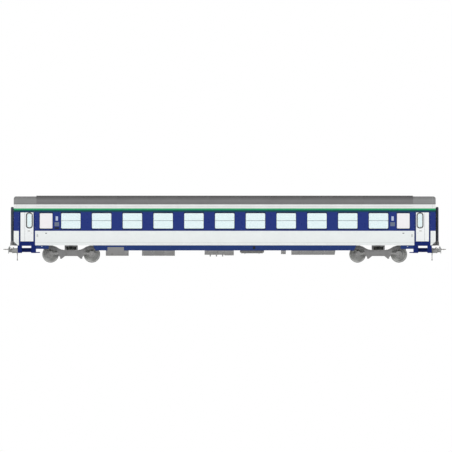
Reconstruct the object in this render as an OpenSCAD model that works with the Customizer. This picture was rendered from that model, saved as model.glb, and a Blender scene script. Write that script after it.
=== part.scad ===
// Passenger coach: a four-axle main-line coach on two bogies.
// X runs along the coach, Y across it and Z up. The origin is under the middle of the coach, at the lowest
// point of the wheel flanges, so the rail head lies one flange height above Z = 0.

/* [Body shell] */
// Length of the body between its two end walls' outer faces
body_l = 25728; // [21000:1:31000]
// Width of the body over its side walls
body_w = 2825; // [2350:5:3400]
// Thickness of the side walls
wall_t = 70; // [50:1:100]
// Thickness of the end walls
end_wall_t = 80; // [60:1:100]
// Height of the side walls' lower edge
wall_foot_z = 1055; // [1055:1:1080]
// Height of the side walls' upper edge, where the roof starts
cant_z = 3341; // [3300:1:3900]
// Height of the floor's upper face
floor_z = 1293; // [1250:1:1400]
// Thickness of the floor
floor_t = 143; // [100:1:143]
// How far the lower corner of each side wall is cut back at the ends
corner_cut = 240; // [150:1:300]

/* [Roof] */
// Rise of the roof above the side walls
roof_rise = 741; // [600:1:900]
// Radius of the curve between side wall and roof
cant_r = 500; // [300:1:550]
// Thickness of the roof
roof_t = 60; // [40:1:90]
// How much lower the roof is over the entrances
end_roof_drop = 45; // [10:1:80]
// Length of the lower roof at each end
end_roof_l = 1384; // [1200:1:1600]
// Radius of the roof's upper corner at the ends
end_roof_r = 150; // [100:1:300]

/* [Windows] */
// Distance from one window to the next, which is also the length of a seating bay
window_pitch = 1876; // [1700:1:2300]
// Width of a saloon window
window_w = 1200; // [900:1:1450]
// Height of a window
window_h = 957; // [700:1:1150]
// Height of the windows' lower edge
window_z = 2067; // [1950:1:2100]
// Radius of the windows' corners
window_r = 70; // [30:1:120]
// Thickness of the window panes
pane_t = 24; // [12:1:40]
// Width of a toilet window
toilet_window_w = 800; // [500:1:900]
// Distance from the body's end to the middle of a toilet window
toilet_window_end = 1974; // [1950:1:2000]
// Length at each end of the body that holds no saloon window
end_zone = 2500; // [2450:1:2545]

/* [Entrance doors] */
// Width of an entrance door's leaf
door_w = 790; // [650:1:900]
// Height of the leaf's upper edge
door_top_z = 3061; // [2950:1:3200]
// Distance from the body's end to the middle of an entrance door
door_end = 807; // [780:1:820]
// Thickness of an entrance door's leaf
door_t = 46; // [30:1:60]
// Width of the door frame beside the leaf
portal_w = 100; // [80:1:110]
// How far the leaf and its frame lie behind the side wall's outer face
door_recess = 12; // [5:1:20]
// Width of the door's window
door_window_w = 290; // [200:1:340]
// Height of the door's window
door_window_h = 840; // [600:1:900]
// How far the door's window is moved from the leaf's middle towards the middle of the coach
door_window_shift = 147; // [60:1:160]
// Height of the middle of the door's window
door_window_z = 2570; // [2520:1:2600]

/* [Entrance steps] */
// Height of the lower edge of the steps
step_foot_z = 585; // [560:1:620]
// Width of the panel beside the steps, towards the coach's end
step_panel_w = 270; // [200:1:280]
// Depth of a step
step_depth = 240; // [180:1:280]

/* [End doors] */
// Width of the doorway in the end wall
end_door_w = 800; // [650:1:850]
// Height of the doorway's upper edge
end_door_top_z = 3230; // [3150:1:3280]
// Thickness of the sliding leaf
end_door_t = 40; // [30:1:50]
// How far the leaf overlaps the doorway on each side
end_door_lap = 25; // [10:1:30]
// Running clearance of everything that moves
run_gap = 8; // [6:1:12]

/* [Gangway and buffing gear] */
// Depth of the rubber gangway in front of the end wall
gangway_d = 176; // [120:1:200]
// Width over the rubber gangway
gangway_w = 1480; // [1300:1:1600]
// Thickness of the rubber
rubber_t = 190; // [120:1:220]
// Height of the gangway's top
gangway_top_z = 3410; // [3380:1:3500]
// Distance between the two buffers
buffer_gauge = 1750; // [1600:1:1800]
// Height of the buffers' middle
buffer_z = 798; // [780:1:900]
// Distance from the end wall's face to the buffer head's face
buffer_reach = 336; // [300:1:400]
// Width of a buffer head
buffer_head_w = 600; // [450:1:650]
// Height of a buffer head
buffer_head_h = 485; // [340:1:500]
// Height of the draw hook
hook_z = 838; // [800:1:900]
// How far the coupling reaches beyond the buffer heads
coupling_reach = 300; // [100:1:320]

/* [Sills and equipment] */
// Height of the sill's lower edge between the bogies
sill_foot_z = 741; // [700:1:800]
// Height of the short outer sills' lower edge
outer_sill_foot_z = 835; // [780:1:880]
// Thickness of the sills
sill_t = 58; // [30:1:58]
// Lengths of the six pieces of equipment between the bogies
equipment_l = [1396, 2006, 1781, 1463, 293, 2689];
// Lower edges of the same six
equipment_foot_z = [415, 415, 476, 567, 518, 476];
// Shares of the free length that lie before each of them
equipment_gap = [0, 811, 1811, 378, 1037, 335];
// Depth of the equipment across the coach
equipment_d = 880; // [600:1:1000]

/* [Bogies] */
// Distance between a bogie's two axles
wheelbase = 2520; // [2200:1:3100]
// Diameter of the wheels at the tread
wheel_d = 950; // [850:1:1000]
// Height of the wheel flanges
flange_h = 28; // [26:1:36]
// Distance between the backs of a wheelset's two wheels
wheel_gap = 1360; // [1300:1:1400]
// Width of a wheel's rim
rim_w = 135; // [120:1:140]
// Diameter of the axle journals
journal_d = 130; // [100:1:160]
// Diameter of a brake disc
brake_disc_d = 610; // [500:1:660]
// Distance from the coach's middle line to the axle boxes' middle
journal_y = 1005; // [985:1:1020]
// Thickness of the bogie frame's side beams
beam_t = 150; // [120:1:150]
// Space between a bogie's wheels and the entrance steps
bogie_gap = 139; // [120:1:300]

/* [Seats] */
// Width of a seat for two
seat_w = 1000; // [850:1:1020]
// Depth of a seat cushion
seat_d = 500; // [440:1:540]
// Thickness of a seat cushion
cushion_t = 130; // [100:1:160]
// Height of the seat above the floor
seat_h = 440; // [400:1:460]
// Height of a seat's back above the floor
back_h = 1150; // [1000:1:1250]
// Clearance under and behind the soft cushions
soft_gap = 0.3; // [0.3:0.1:1]

/* [Hidden] */
$fn = 64;
fit = 0.5;

half_l = body_l / 2;
half_w = body_w / 2;
inner_y = half_w - wall_t;
inner_x = half_l - end_wall_t;
floor_foot_z = floor_z - floor_t;
window_n = floor((body_l - 2 * end_zone) / window_pitch);
saloon_half = window_n * window_pitch / 2;
window_mid_z = window_z + window_h / 2;
toilet_x = half_l - toilet_window_end;
door_x = half_l - door_end;
door_window_r = door_window_w * 0.38;
pane_recess = 14;
door_pane_recess = 10;
portal_half = door_w / 2 + portal_w;
portal_top_z = door_top_z + 40;
step_half = portal_half + 10;
step_side_inner = 50;
step_side_outer = 65;
step_inner_w = step_panel_w + 30;
step_from = door_x - step_half - step_side_inner;
step_to = door_x + step_half + step_side_outer;
step_y = half_w - 12;
step_panel_t = 56;

wheel_r = wheel_d / 2;
axle_z = wheel_r + flange_h;
step_arm_l = 240;
axle_dx = wheelbase / 2;
bogie_x = step_from - step_arm_l - bogie_gap - wheel_r - flange_h - axle_dx;
sill_end_x = bogie_x - axle_dx - 70;
outer_sill_x = bogie_x + axle_dx + 110;
headstock_x = half_l - 264;
headstock_t = 200;
sill_y = step_y;

bolster_top_z = 1050;
bearer_gap = 0.5;
beam_top_z = 774;
beam_foot_z = 410;
beam_high_z = 1037;
beam_y = journal_y - beam_t / 2;
spring_top_z = 976;
pivot_r = 75;
axle_box_r = 190;
axle_box_top_z = axle_z + axle_box_r + 10;
arm_foot_x = axle_dx - 460;
cross_tube_x = 300;
cross_tube_r = 90;
beam_arch_z = 800;
disc_y = 330;
disc_half = 60;

equipment_from = bogie_x - 2110;
equipment_to = bogie_x - 2610;
equipment_free = equipment_from + equipment_to - total(equipment_l, 6);
equipment_top_z = 1010;

// Seat sizes above the floor: the pan under the cushion, and the shell that leans back behind it
back_t = 95;
back_lean = 85;
shell_t = 30;
cushion_nose = 60;
pan_top = seat_h - cushion_t - soft_gap;
pan_foot = pan_top - 60;
cushion_x = -shell_t - back_lean - 2;

function total(list, n) = n == 0 ? 0 : list[n - 1] + total(list, n - 1);

// Where the k-th piece of equipment starts: the ones before it, and its share of the free length
function equipment_x(k) = -equipment_from + total(equipment_l, k)
    + equipment_free * total(equipment_gap, k + 1) / total(equipment_gap, 6);

// Radius of the roof's flat arch: it meets the tighter side curve on a common tangent and is level on top
function arch_r(rise) = (pow(half_w - cant_r, 2) + pow(rise, 2) - pow(cant_r, 2)) / (2 * (rise - cant_r));

// ---------- shared shapes ----------

// The body's cross-section above the side walls, in Y and Z, drawn inset by a thickness
module roof_section(rise, inset) {
    arch = arch_r(rise);
    arch_z = cant_z + rise - arch;
    corner_y = half_w - cant_r;
    turn_y = corner_y * arch / (arch - cant_r);
    intersection() {
        translate([0, arch_z]) circle(r = arch - inset, $fn = 256);
        union() {
            for (side = [-1, 1])
                translate([side * corner_y, cant_z]) circle(r = cant_r - inset, $fn = 96);
            translate([-corner_y, cant_z - cant_r + inset])
                square([2 * corner_y, cant_r + rise]);
            translate([-turn_y, cant_z])
                square([2 * turn_y, rise]);
        }
        translate([-half_w, cant_z]) square([2 * half_w, rise + 10]);
    }
}

// The whole inside of the body, from the floor up, less a clearance
module inside_section(rise, gap) {
    translate([-inner_y + gap, floor_z]) square([2 * (inner_y - gap), cant_z - floor_z]);
    intersection() {
        roof_section(rise, roof_t + gap);
        translate([-inner_y + gap, cant_z]) square([2 * (inner_y - gap), rise]);
    }
}

// A plate that stands across the coach: a Y-Z outline that is given a thickness along X
module across(x, t) {
    translate([x, 0, 0]) rotate([90, 0, 90]) linear_extrude(t) children();
}

// A plate that stands along the coach: an X-Z outline that is given a thickness along Y
module along(y, t) {
    translate([0, y + t, 0]) rotate([90, 0, 0]) linear_extrude(t) children();
}

module block(x0, x1, y0, y1, z0, z1) {
    translate([x0, y0, z0]) cube([x1 - x0, y1 - y0, z1 - z0]);
}

module rounded(w, h, r) {
    square([w - 2 * r, h], center = true);
    square([w, h - 2 * r], center = true);
    for (sx = [-1, 1], sy = [-1, 1])
        translate([sx * (w / 2 - r), sy * (h / 2 - r)]) circle(r = r, $fn = 48);
}

module both_sides() {
    children();
    mirror([0, 1, 0]) children();
}

module both_ends() {
    children();
    mirror([1, 0, 0]) children();
}

module four_corners() {
    both_ends() both_sides() children();
}

// ---------- body shell ----------

module floor() {
    x = inner_x - fit;
    y = inner_y - fit;
    color("dimgray") block(-x, x, -y, y, floor_foot_z, floor_z);
}

// Door openings and windows of one side wall
module wall_outline() {
    difference() {
        polygon([
            [-half_l + corner_cut, wall_foot_z], [half_l - corner_cut, wall_foot_z],
            [half_l, wall_foot_z + corner_cut], [half_l, cant_z],
            [-half_l, cant_z], [-half_l, wall_foot_z + corner_cut]
        ]);
        for (i = [0:window_n - 1])
            translate([(i + 0.5) * window_pitch - saloon_half, window_mid_z])
                rounded(window_w, window_h, window_r);
        for (end = [-1, 1]) {
            translate([end * toilet_x, window_mid_z]) rounded(toilet_window_w, window_h, window_r);
            translate([end * door_x - portal_half, wall_foot_z - 10])
                square([2 * portal_half, portal_top_z - wall_foot_z + 10]);
        }
    }
}

module side_wall(side) {
    color("midnightblue") along(side > 0 ? inner_y : -half_w, wall_t) wall_outline();
}

module end_wall() {
    rail_x = inner_x - end_door_t - 2 * run_gap;
    rail_z = end_door_top_z + end_door_lap + fit;
    rail_h = 45;
    color("midnightblue") {
        difference() {
            block(inner_x, half_l, -inner_y + fit, inner_y - fit, floor_foot_z, cant_z - fit);
            block(inner_x - 10, half_l + 10, -end_door_w / 2, end_door_w / 2, floor_z, end_door_top_z);
        }
        // rail that the sliding leaf hangs from
        block(rail_x, inner_x + 1, -end_door_w / 2 - end_door_lap, inner_y - 20, rail_z, rail_z + rail_h);
    }
}

module roof_shell(rise, x0, x1) {
    across(x0, x1 - x0) difference() {
        roof_section(rise, 0);
        roof_section(rise, roof_t);
        translate([-inner_y, cant_z - 10]) square([2 * inner_y, 10]);
    }
}

module roof_middle() {
    color("gray") roof_shell(roof_rise, -half_l + end_roof_l, half_l - end_roof_l);
}

// The roof end's X-Z outline with its rounded upper corner, drawn inset by a thickness
module roof_end_outline(rise, inset_x, inset_z) {
    r = end_roof_r - inset_z;
    x0 = half_l - end_roof_l - 10;
    x1 = half_l - inset_x;
    z1 = cant_z + rise - inset_z;
    translate([x0, cant_z - 10]) square([x1 - r - x0, z1 - cant_z + 10]);
    translate([x0, cant_z - 10]) square([x1 - x0, z1 - r - cant_z + 10]);
    translate([x1 - r, z1 - r]) circle(r = r);
}

// The lower roof over the entrances: its end is closed above the end wall
module roof_end() {
    rise = roof_rise - end_roof_drop;
    x0 = half_l - end_roof_l;
    color("darkgray") difference() {
        intersection() {
            across(x0, end_roof_l) roof_section(rise, 0);
            along(-half_w - 10, body_w + 20) roof_end_outline(rise, 0, 0);
        }
        intersection() {
            across(x0 - 1, end_roof_l) union() {
                roof_section(rise, roof_t);
                translate([-inner_y, cant_z - 10]) square([2 * inner_y, 11]);
            }
            along(-half_w - 10, body_w + 20) roof_end_outline(rise, end_wall_t, roof_t);
        }
    }
}

module sills() {
    slant = 150;
    color("midnightblue") {
        both_sides() along(sill_y - sill_t, sill_t) polygon([
            [-sill_end_x, wall_foot_z], [sill_end_x, wall_foot_z],
            [sill_end_x - slant, sill_foot_z], [-sill_end_x + slant, sill_foot_z]
        ]);
        four_corners() block(outer_sill_x, step_from - fit, sill_y - sill_t, sill_y,
            outer_sill_foot_z, wall_foot_z);
    }
}

// ---------- glass ----------

module pane(x, w, h, mid_z, y_out, r) {
    along(y_out - pane_t, pane_t) translate([x, mid_z]) rounded(w - 2 * fit, h - 2 * fit, r - fit);
}

module window_panes() {
    color("lightcyan") both_sides() for (i = [0:window_n - 1])
        pane((i + 0.5) * window_pitch - saloon_half, window_w, window_h, window_mid_z, half_w - pane_recess,
            window_r);
}

module toilet_panes() {
    color("whitesmoke") four_corners()
        pane(toilet_x, toilet_window_w, window_h, window_mid_z, half_w - pane_recess, window_r);
}

module door_panes() {
    color("lightcyan") four_corners()
        pane(door_x - door_window_shift, door_window_w, door_window_h, door_window_z,
            half_w - door_recess - door_pane_recess, door_window_r);
}

// ---------- entrances ----------

module entrance_door() {
    leaf_y = half_w - door_recess - door_t;
    color("white") difference() {
        block(door_x - door_w / 2 + 3, door_x + door_w / 2 - 3, leaf_y, leaf_y + door_t,
            floor_z + 4, door_top_z - 3);
        along(leaf_y - 10, door_t + 20) translate([door_x - door_window_shift, door_window_z])
            rounded(door_window_w, door_window_h, door_window_r);
    }
}

// The jambs, head and threshold that the leaf closes against: its inner lip runs behind the leaf
module door_frames() {
    frame_y = half_w - door_recess - 8;
    leaf_y = half_w - door_recess - door_t;
    lip = 30;
    lip_y = inner_y - 12;
    color("navy") four_corners() {
        difference() {
            block(door_x - portal_half + fit, door_x + portal_half - fit, lip_y, frame_y,
                floor_z, portal_top_z - fit);
            block(door_x - door_w / 2, door_x + door_w / 2, leaf_y - fit, frame_y + 10,
                floor_z - 10, door_top_z);
            block(door_x - door_w / 2 + lip, door_x + door_w / 2 - lip, lip_y - 10, frame_y,
                floor_z - 10, door_top_z - lip);
        }
    }
}

module entrance_steps() {
    x0 = step_from;
    x1 = step_to;
    tread_x0 = x0 + step_inner_w;
    tread_x1 = x1 - step_panel_w;
    back_y = step_y - step_depth;
    tread_t = 26;
    cheek_t = 20;
    lower_z = step_foot_z + 55;
    upper_z = 890;
    color("midnightblue") four_corners() {
        // riser under the door, which hangs from the floor
        block(tread_x0, tread_x1, back_y, step_y, wall_foot_z - 35, floor_foot_z - fit);
        block(door_x - portal_half + 1, door_x + portal_half - 1, inner_y + 1, half_w - door_recess - 6,
            wall_foot_z - 35, floor_z - 4);
        // panels at both sides, with the cheeks that carry the treads
        block(x0, tread_x0, step_y - step_panel_t, step_y, step_foot_z, wall_foot_z - fit);
        block(tread_x1, x1, step_y - step_panel_t, step_y, step_foot_z, wall_foot_z - fit);
        block(tread_x0 - cheek_t, tread_x0, back_y, step_y, step_foot_z, floor_foot_z - fit);
        block(tread_x1, tread_x1 + cheek_t, back_y, step_y, step_foot_z, floor_foot_z - fit);
        // two treads and the board between them
        block(tread_x0 - 1, tread_x1 + 1, back_y, step_y, lower_z, lower_z + tread_t);
        block(tread_x0 - 1, tread_x1 + 1, back_y, back_y + cheek_t, lower_z, upper_z);
        block(tread_x0 - 1, tread_x1 + 1, back_y, step_y - 90, upper_z - tread_t, upper_z);
        // small foot bracket towards the bogie
        block(x0 - step_arm_l, x0 + 1, step_y - step_panel_t, step_y, step_foot_z + 5, step_foot_z + 65);
    }
}

// ---------- ends ----------

module end_door() {
    x1 = inner_x - run_gap;
    half = end_door_w / 2 + end_door_lap;
    glass_z = 2550;
    color("lightgray") difference() {
        block(x1 - end_door_t, x1, -half, half, floor_z + run_gap, end_door_top_z + end_door_lap);
        across(x1 - 12, 24) translate([0, glass_z]) rounded(450, 800, 80);
    }
}

module gangway_rubber() {
    inner_half = gangway_w / 2 - rubber_t;
    foot_z = floor_z + 38;
    bend_r = 150;
    color([0.16, 0.16, 0.18]) intersection() {
        across(half_l, gangway_d) difference() {
            union() {
                translate([0, (foot_z + gangway_top_z) / 2])
                    rounded(gangway_w, gangway_top_z - foot_z, bend_r);
                translate([-gangway_w / 2, foot_z]) square([gangway_w, bend_r * 2]);
            }
            translate([-inner_half, foot_z - 10])
                square([2 * inner_half, gangway_top_z - foot_z - rubber_t + 10]);
        }
        along(-gangway_w, 2 * gangway_w) polygon([
            [half_l, foot_z - 10], [half_l + gangway_d, foot_z - 10], [half_l + gangway_d, gangway_top_z + 10],
            [half_l + gangway_d * 0.6, gangway_top_z + 10], [half_l, gangway_top_z - 110]
        ]);
    }
}

module gangway_feet() {
    top_z = floor_z + 37.5;
    color("gray") both_ends() along(-gangway_w / 2, gangway_w) polygon([
        [half_l + fit, top_z], [half_l + gangway_d, top_z], [half_l + gangway_d + 30, floor_z - 110],
        [half_l + gangway_d + 30, wall_foot_z - 10], [half_l + fit, wall_foot_z - 10]
    ]);
}

module rod_along_x(x, y, z, r, l) {
    translate([x, y, z]) rotate([0, 90, 0]) cylinder(r = r, h = l);
}

module buffers() {
    plate_t = 60;
    casing_r = 138;
    casing_l = 310;
    plunger_r = 95;
    head_t = 45;
    backing_t = 100;
    bend_z = 75;
    bend_d = 120;
    face_x = half_l + buffer_reach;
    casing_z = buffer_z - 75;
    head_top = buffer_z + buffer_head_h / 2 + 1;
    plate_x = headstock_x + plate_t;
    casing_x = plate_x - 10 + casing_l;
    color("gray") both_sides() translate([0, buffer_gauge / 2, 0]) {
        // mounting plate, casing and plunger
        block(headstock_x + fit, plate_x, -190, 190, casing_z - 165, casing_z + 165);
        rod_along_x(plate_x - 10, 0, casing_z, casing_r, casing_l);
        rod_along_x(casing_x - 10, 0, casing_z, plunger_r, face_x - head_t - casing_x + 5);
        // head: a wide plate, whose top is bent back, on a smaller backing
        translate([0, 0, buffer_z]) across(face_x - head_t - backing_t + 5, backing_t)
            rounded(buffer_head_w - 180, buffer_head_h - 190, 60);
        intersection() {
            translate([0, 0, buffer_z]) across(face_x - 250, 250) rounded(buffer_head_w, buffer_head_h, 60);
            along(-buffer_head_w, 2 * buffer_head_w) polygon([
                [face_x, 0], [face_x, buffer_z + bend_z], [face_x - bend_d / 3, buffer_z + bend_z + 90],
                [face_x - bend_d, head_top], [face_x - bend_d - head_t, head_top],
                [face_x - bend_d / 3 - head_t, buffer_z + bend_z + 80], [face_x - head_t, buffer_z + bend_z - 10],
                [face_x - head_t, 0]
            ]);
        }
    }
}

module couplings() {
    hook_x = half_l + 60;
    hook_r = 105;
    hook_t = 64;
    jaw_r = 42;
    bar_half = 35;
    plate_half = 150;
    link_y = 62;
    link_r = 22;
    link_z = hook_z - 30;
    link_x = hook_x - 20;
    tip_x = half_l + buffer_reach + coupling_reach;
    pipe_y = 330;
    pipe_r = 18;
    pipe_foot_z = 130;
    color("dimgray") both_ends() {
        // draw bar and hook, whose jaw opens upwards
        block(headstock_x + fit, hook_x - 60, -bar_half, bar_half, hook_z - bar_half, hook_z + bar_half);
        block(headstock_x + fit, headstock_x + 30, -plate_half, plate_half, hook_z - 130, hook_z + 130);
        difference() {
            along(-hook_t / 2, hook_t) translate([hook_x, hook_z]) circle(r = hook_r);
            along(-hook_t, 2 * hook_t) translate([hook_x + 5, hook_z + 30]) {
                circle(r = jaw_r);
                square([60, 100]);
            }
        }
        // screw coupling, held out level: a pin at each end, and two links between them
        for (x = [link_x, tip_x - link_r - 2])
            translate([x, -link_y - 25, link_z]) rotate([-90, 0, 0]) cylinder(r = 24, h = 2 * link_y + 50);
        for (side = [-1, 1]) rod_along_x(link_x, side * link_y, link_z, link_r, tip_x - hook_x);
        // rigid air pipes that end low in front of the headstock
        for (side = [-1, 1]) {
            y = side * pipe_y;
            translate([headstock_x + 42, y, pipe_foot_z]) cylinder(r = pipe_r, h = hook_z - pipe_foot_z);
            block(headstock_x + fit, headstock_x + 62, y - 24, y + 24, hook_z - 40, hook_z);
        }
    }
}

// ---------- underframe and equipment ----------

// The beam across each end that carries the buffers and the coupling, with a shelf under the end wall
module headstocks() {
    half = step_y - step_depth - 20;
    shelf_t = 115;
    color([0.3, 0.3, 0.32]) both_ends() {
        block(headstock_x - headstock_t, headstock_x, -half, half, 600, floor_foot_z - fit);
        block(headstock_x - 1, half_l, -half, half, floor_foot_z - fit - shelf_t, floor_foot_z - fit);
    }
}

module underframe() {
    x_end = headstock_x - headstock_t - fit;
    rail_z = 1065;
    color([0.3, 0.3, 0.32]) {
        both_sides() {
            // solebar, which stops at the steps, and centre sill
            block(-step_from + 2, step_from - 2, inner_y - 80, inner_y - 20, rail_z, floor_foot_z);
            block(-x_end, x_end, 300, 420, rail_z, floor_foot_z);
        }
        both_ends() {
            // body bolster with its rubbing plates and pivot
            block(bogie_x - 300, bogie_x + 300, -inner_y + 50, inner_y - 50, rail_z, floor_foot_z);
            for (side = [-1, 1])
                block(bogie_x - 150, bogie_x + 150, side * 700 - 120, side * 700 + 120,
                    bolster_top_z + bearer_gap, rail_z + 1);
            translate([bogie_x, 0, 860]) cylinder(r = pivot_r, h = rail_z - 859);
        }
        // two hangers over each piece of equipment
        for (k = [0:5], end = [0, 1]) {
            x = equipment_x(k) + (end == 0 ? 60 : equipment_l[k] - 140);
            block(x, x + 80, -inner_y + 22, inner_y - 22, equipment_top_z, floor_foot_z);
        }
    }
}

// A box under the floor: its upper part lies behind the sill, and its lower part comes out level with it
module equipment_box(k, x0, x1) {
    top_y = sill_y - sill_t - 15;
    block(x0, x1, top_y - equipment_d, top_y, equipment_foot_z[k], equipment_top_z - fit);
    block(x0, x1, top_y - 10, sill_y, equipment_foot_z[k], sill_foot_z - 6);
}

module whole_box(k) {
    equipment_box(k, equipment_x(k), equipment_x(k) + equipment_l[k]);
}

module battery_boxes() {
    x = equipment_x(0);
    color("gray") both_sides() {
        whole_box(0);
        block(x + 104, x + 1104, sill_y + fit, sill_y + 12, equipment_foot_z[0] + 60, 945);
        block(x + 104, x + 1104, sill_y - 5, sill_y + 12, equipment_foot_z[0] + 60, sill_foot_z - 6);
    }
}

module converter_boxes() {
    color("gray") both_sides() whole_box(1);
}

module climate_unit() {
    x = equipment_x(2);
    x_step = x + equipment_l[2] * 0.68;
    color("gray") both_sides() {
        whole_box(2);
        equipment_box(2, x_step, x + equipment_l[2]);
        block(x_step, x + equipment_l[2], sill_y - equipment_d, sill_y,
            equipment_foot_z[2] - 37, equipment_foot_z[2] + 1);
        for (i = [0:2])
            block(x + 310 + i * 378, x + 380 + i * 378, sill_y - 500, sill_y - 20,
                equipment_foot_z[2] - 104, equipment_foot_z[2] + 1);
    }
}

module air_reservoirs() {
    tank_r = (sill_foot_z - equipment_foot_z[3]) / 2 + 90;
    row_pitch = 480;
    dome = 70;
    z = equipment_foot_z[3] + tank_r;
    x = equipment_x(3);
    y = sill_y - sill_t - 30 - tank_r;
    color("gray") both_sides() for (row = [0, 1]) translate([x, y - row * row_pitch, z]) {
        translate([dome, 0, 0]) rotate([0, 90, 0]) cylinder(r = tank_r, h = equipment_l[3] - 2 * dome);
        rotate([0, 90, 0]) cylinder(r = tank_r - 45, h = equipment_l[3]);
        for (end = [0, 1])
            block(end == 0 ? 60 : equipment_l[3] - 140, end == 0 ? 140 : equipment_l[3] - 60, -30, 30,
                0, equipment_top_z - fit - z);
    }
}

module valve_boxes() {
    color("gray") both_sides() whole_box(4);
}

module water_tanks() {
    x1 = equipment_x(5) + equipment_l[5] + 1;
    foot_z = equipment_foot_z[5] - 1;
    slope = 45;
    color("gray") both_sides() difference() {
        whole_box(5);
        along(0, half_w) polygon([[x1 - slope, foot_z], [x1, foot_z], [x1, sill_foot_z - 6]]);
    }
}

// ---------- interior ----------

// The rise of the roof over the end of a panel
function rise_over(x) = x > half_l - end_roof_l ? roof_rise - end_roof_drop : roof_rise;

module wall_panel(x, t, y0, y1, z0) {
    across(x, t) intersection() {
        inside_section(rise_over(x + t), fit);
        translate([y0, z0]) square([y1 - y0, cant_z + roof_rise - z0]);
    }
}

// At each end: the saloon's end wall, the toilet walls beside the aisle, and the vestibule wall
module partitions() {
    panel_t = 40;
    aisle = 400;
    head_z = 3200;
    vestibule_x = door_x - portal_half - 140;
    color("tan") both_ends() for (x = [saloon_half + 10, vestibule_x]) {
        both_sides() wall_panel(x, panel_t, aisle, half_w, floor_z + fit);
        wall_panel(x, panel_t, -aisle + fit, aisle - fit, head_z);
    }
    color("tan") four_corners()
        block(saloon_half + 10 + panel_t + fit, vestibule_x - fit, aisle, aisle + 30,
            floor_z + fit, cant_z + 300);
}

// Runs its children once for each seat: two that face each other in every bay, on both sides of the aisle
module each_seat() {
    both_sides() for (i = [0:window_n - 1], face = [-1, 1])
        translate([(i + 0.5) * window_pitch - saloon_half, 0, floor_z]) mirror([face > 0 ? 0 : 1, 0, 0])
            translate([window_pitch / 2 - 45, inner_y - 30, 0]) children();
}

// How far forward the seat shell's front face lies at a height above the floor
function shell_front(z) = -shell_t - back_lean * (back_h - z) / (back_h - pan_foot);

// In each_seat's frame the top of the seat's back stands at X = 0 and the seat looks towards -X
module seat_frames() {
    foot_w = 120;
    pan_x = cushion_x - seat_d + cushion_nose;
    foot_x = pan_x + 100;
    color("slategray") each_seat() {
        block(pan_x, -shell_t - back_lean - fit, -seat_w, 0, pan_foot, pan_top);
        for (y = [-seat_w + 100, -100 - foot_w])
            block(foot_x, foot_x + 240, y, y + foot_w, fit, pan_foot + 1);
        along(-seat_w, seat_w) polygon([
            [-shell_t - back_lean, pan_foot], [-back_lean, pan_foot], [0, back_h], [-shell_t, back_h]
        ]);
    }
}

module seat_cushions() {
    color("steelblue") each_seat()
        block(cushion_x - seat_d, cushion_x, -seat_w + 4, -4, seat_h - cushion_t, seat_h);
}

module seat_backs() {
    z0 = seat_h + 4;
    z1 = back_h - 6;
    foot_x = shell_front(z0) - soft_gap;
    top_x = shell_front(z1) - soft_gap;
    color("steelblue") each_seat() along(-seat_w + 4, seat_w - 8)
        polygon([[foot_x - back_t, z0], [foot_x, z0], [top_x, z1], [top_x - back_t + 15, z1]]);
}

module luggage_racks() {
    rack_z = 3120;
    color("silver") both_sides()
        block(-saloon_half + 20, saloon_half - 20, inner_y - 420, inner_y - fit, rack_z, rack_z + 30);
}

// ---------- bogies ----------

// One side beam's outline: low in the middle, arched up over the axle boxes, with a foot beside each wheel
module beam_outline() {
    belly_x = 380;
    foot_z = 232;
    arch_x = axle_dx + 420;
    throat_x = arm_foot_x + 75;
    for (side = [-1, 1]) mirror([side > 0 ? 0 : 1, 0]) polygon([
        [0, beam_foot_z], [belly_x, beam_foot_z], [arm_foot_x - 200, foot_z], [arm_foot_x - 130, foot_z],
        [arm_foot_x - 120, foot_z + 98], [arm_foot_x, beam_foot_z + 60], [arm_foot_x, beam_foot_z + 230],
        [throat_x, beam_foot_z + 290], [throat_x, beam_arch_z],
        [arch_x + 20, beam_arch_z], [arch_x, beam_arch_z + 90], [axle_dx + 170, beam_high_z],
        [axle_dx - 110, beam_high_z], [axle_dx - 330, beam_high_z - 72], [arm_foot_x - 50, beam_top_z + 82],
        [arm_foot_x - 245, beam_top_z], [0, beam_top_z]
    ]);
}

module bogie_frame() {
    tube_z = 600;
    color([0.5, 0.5, 0.49]) {
        both_sides() along(beam_y, beam_t) beam_outline();
        for (dx = [-cross_tube_x, cross_tube_x]) translate([dx, -beam_y - 1, tube_z]) rotate([-90, 0, 0])
            cylinder(r = cross_tube_r, h = 2 * beam_y + 2);
    }
}

module bolster() {
    half = 400;
    reach_y = beam_y + beam_t + 30;
    hub_half = 180;
    hub_foot_z = 850;
    color([0.55, 0.55, 0.54]) difference() {
        union() {
            block(-half, half, -reach_y, reach_y, spring_top_z, bolster_top_z);
            block(-hub_half, hub_half, -hub_half, hub_half, hub_foot_z, spring_top_z + 1);
            for (side = [-1, 1], end = [-1, 1])
                translate([end * (half - 55), side * journal_y, 0])
                    block(-55, 55, -75, 75, beam_top_z + fit, spring_top_z + 1);
        }
        translate([0, 0, hub_foot_z - 10]) cylinder(r = pivot_r + fit, h = 300);
    }
}

// Four thick coil springs between beam and bolster, and one over each axle box
module springs() {
    inner_spring_x = 145;
    color([0.2, 0.2, 0.2]) both_sides() {
        for (dx = [-inner_spring_x, inner_spring_x]) translate([dx, journal_y, beam_top_z + fit])
            cylinder(r = 105, h = spring_top_z - beam_top_z - 2 * fit);
        for (dx = [-axle_dx, axle_dx]) translate([dx, journal_y, axle_box_top_z + fit])
            cylinder(r = 70, h = beam_arch_z - axle_box_top_z - 2 * fit);
    }
}

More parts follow.
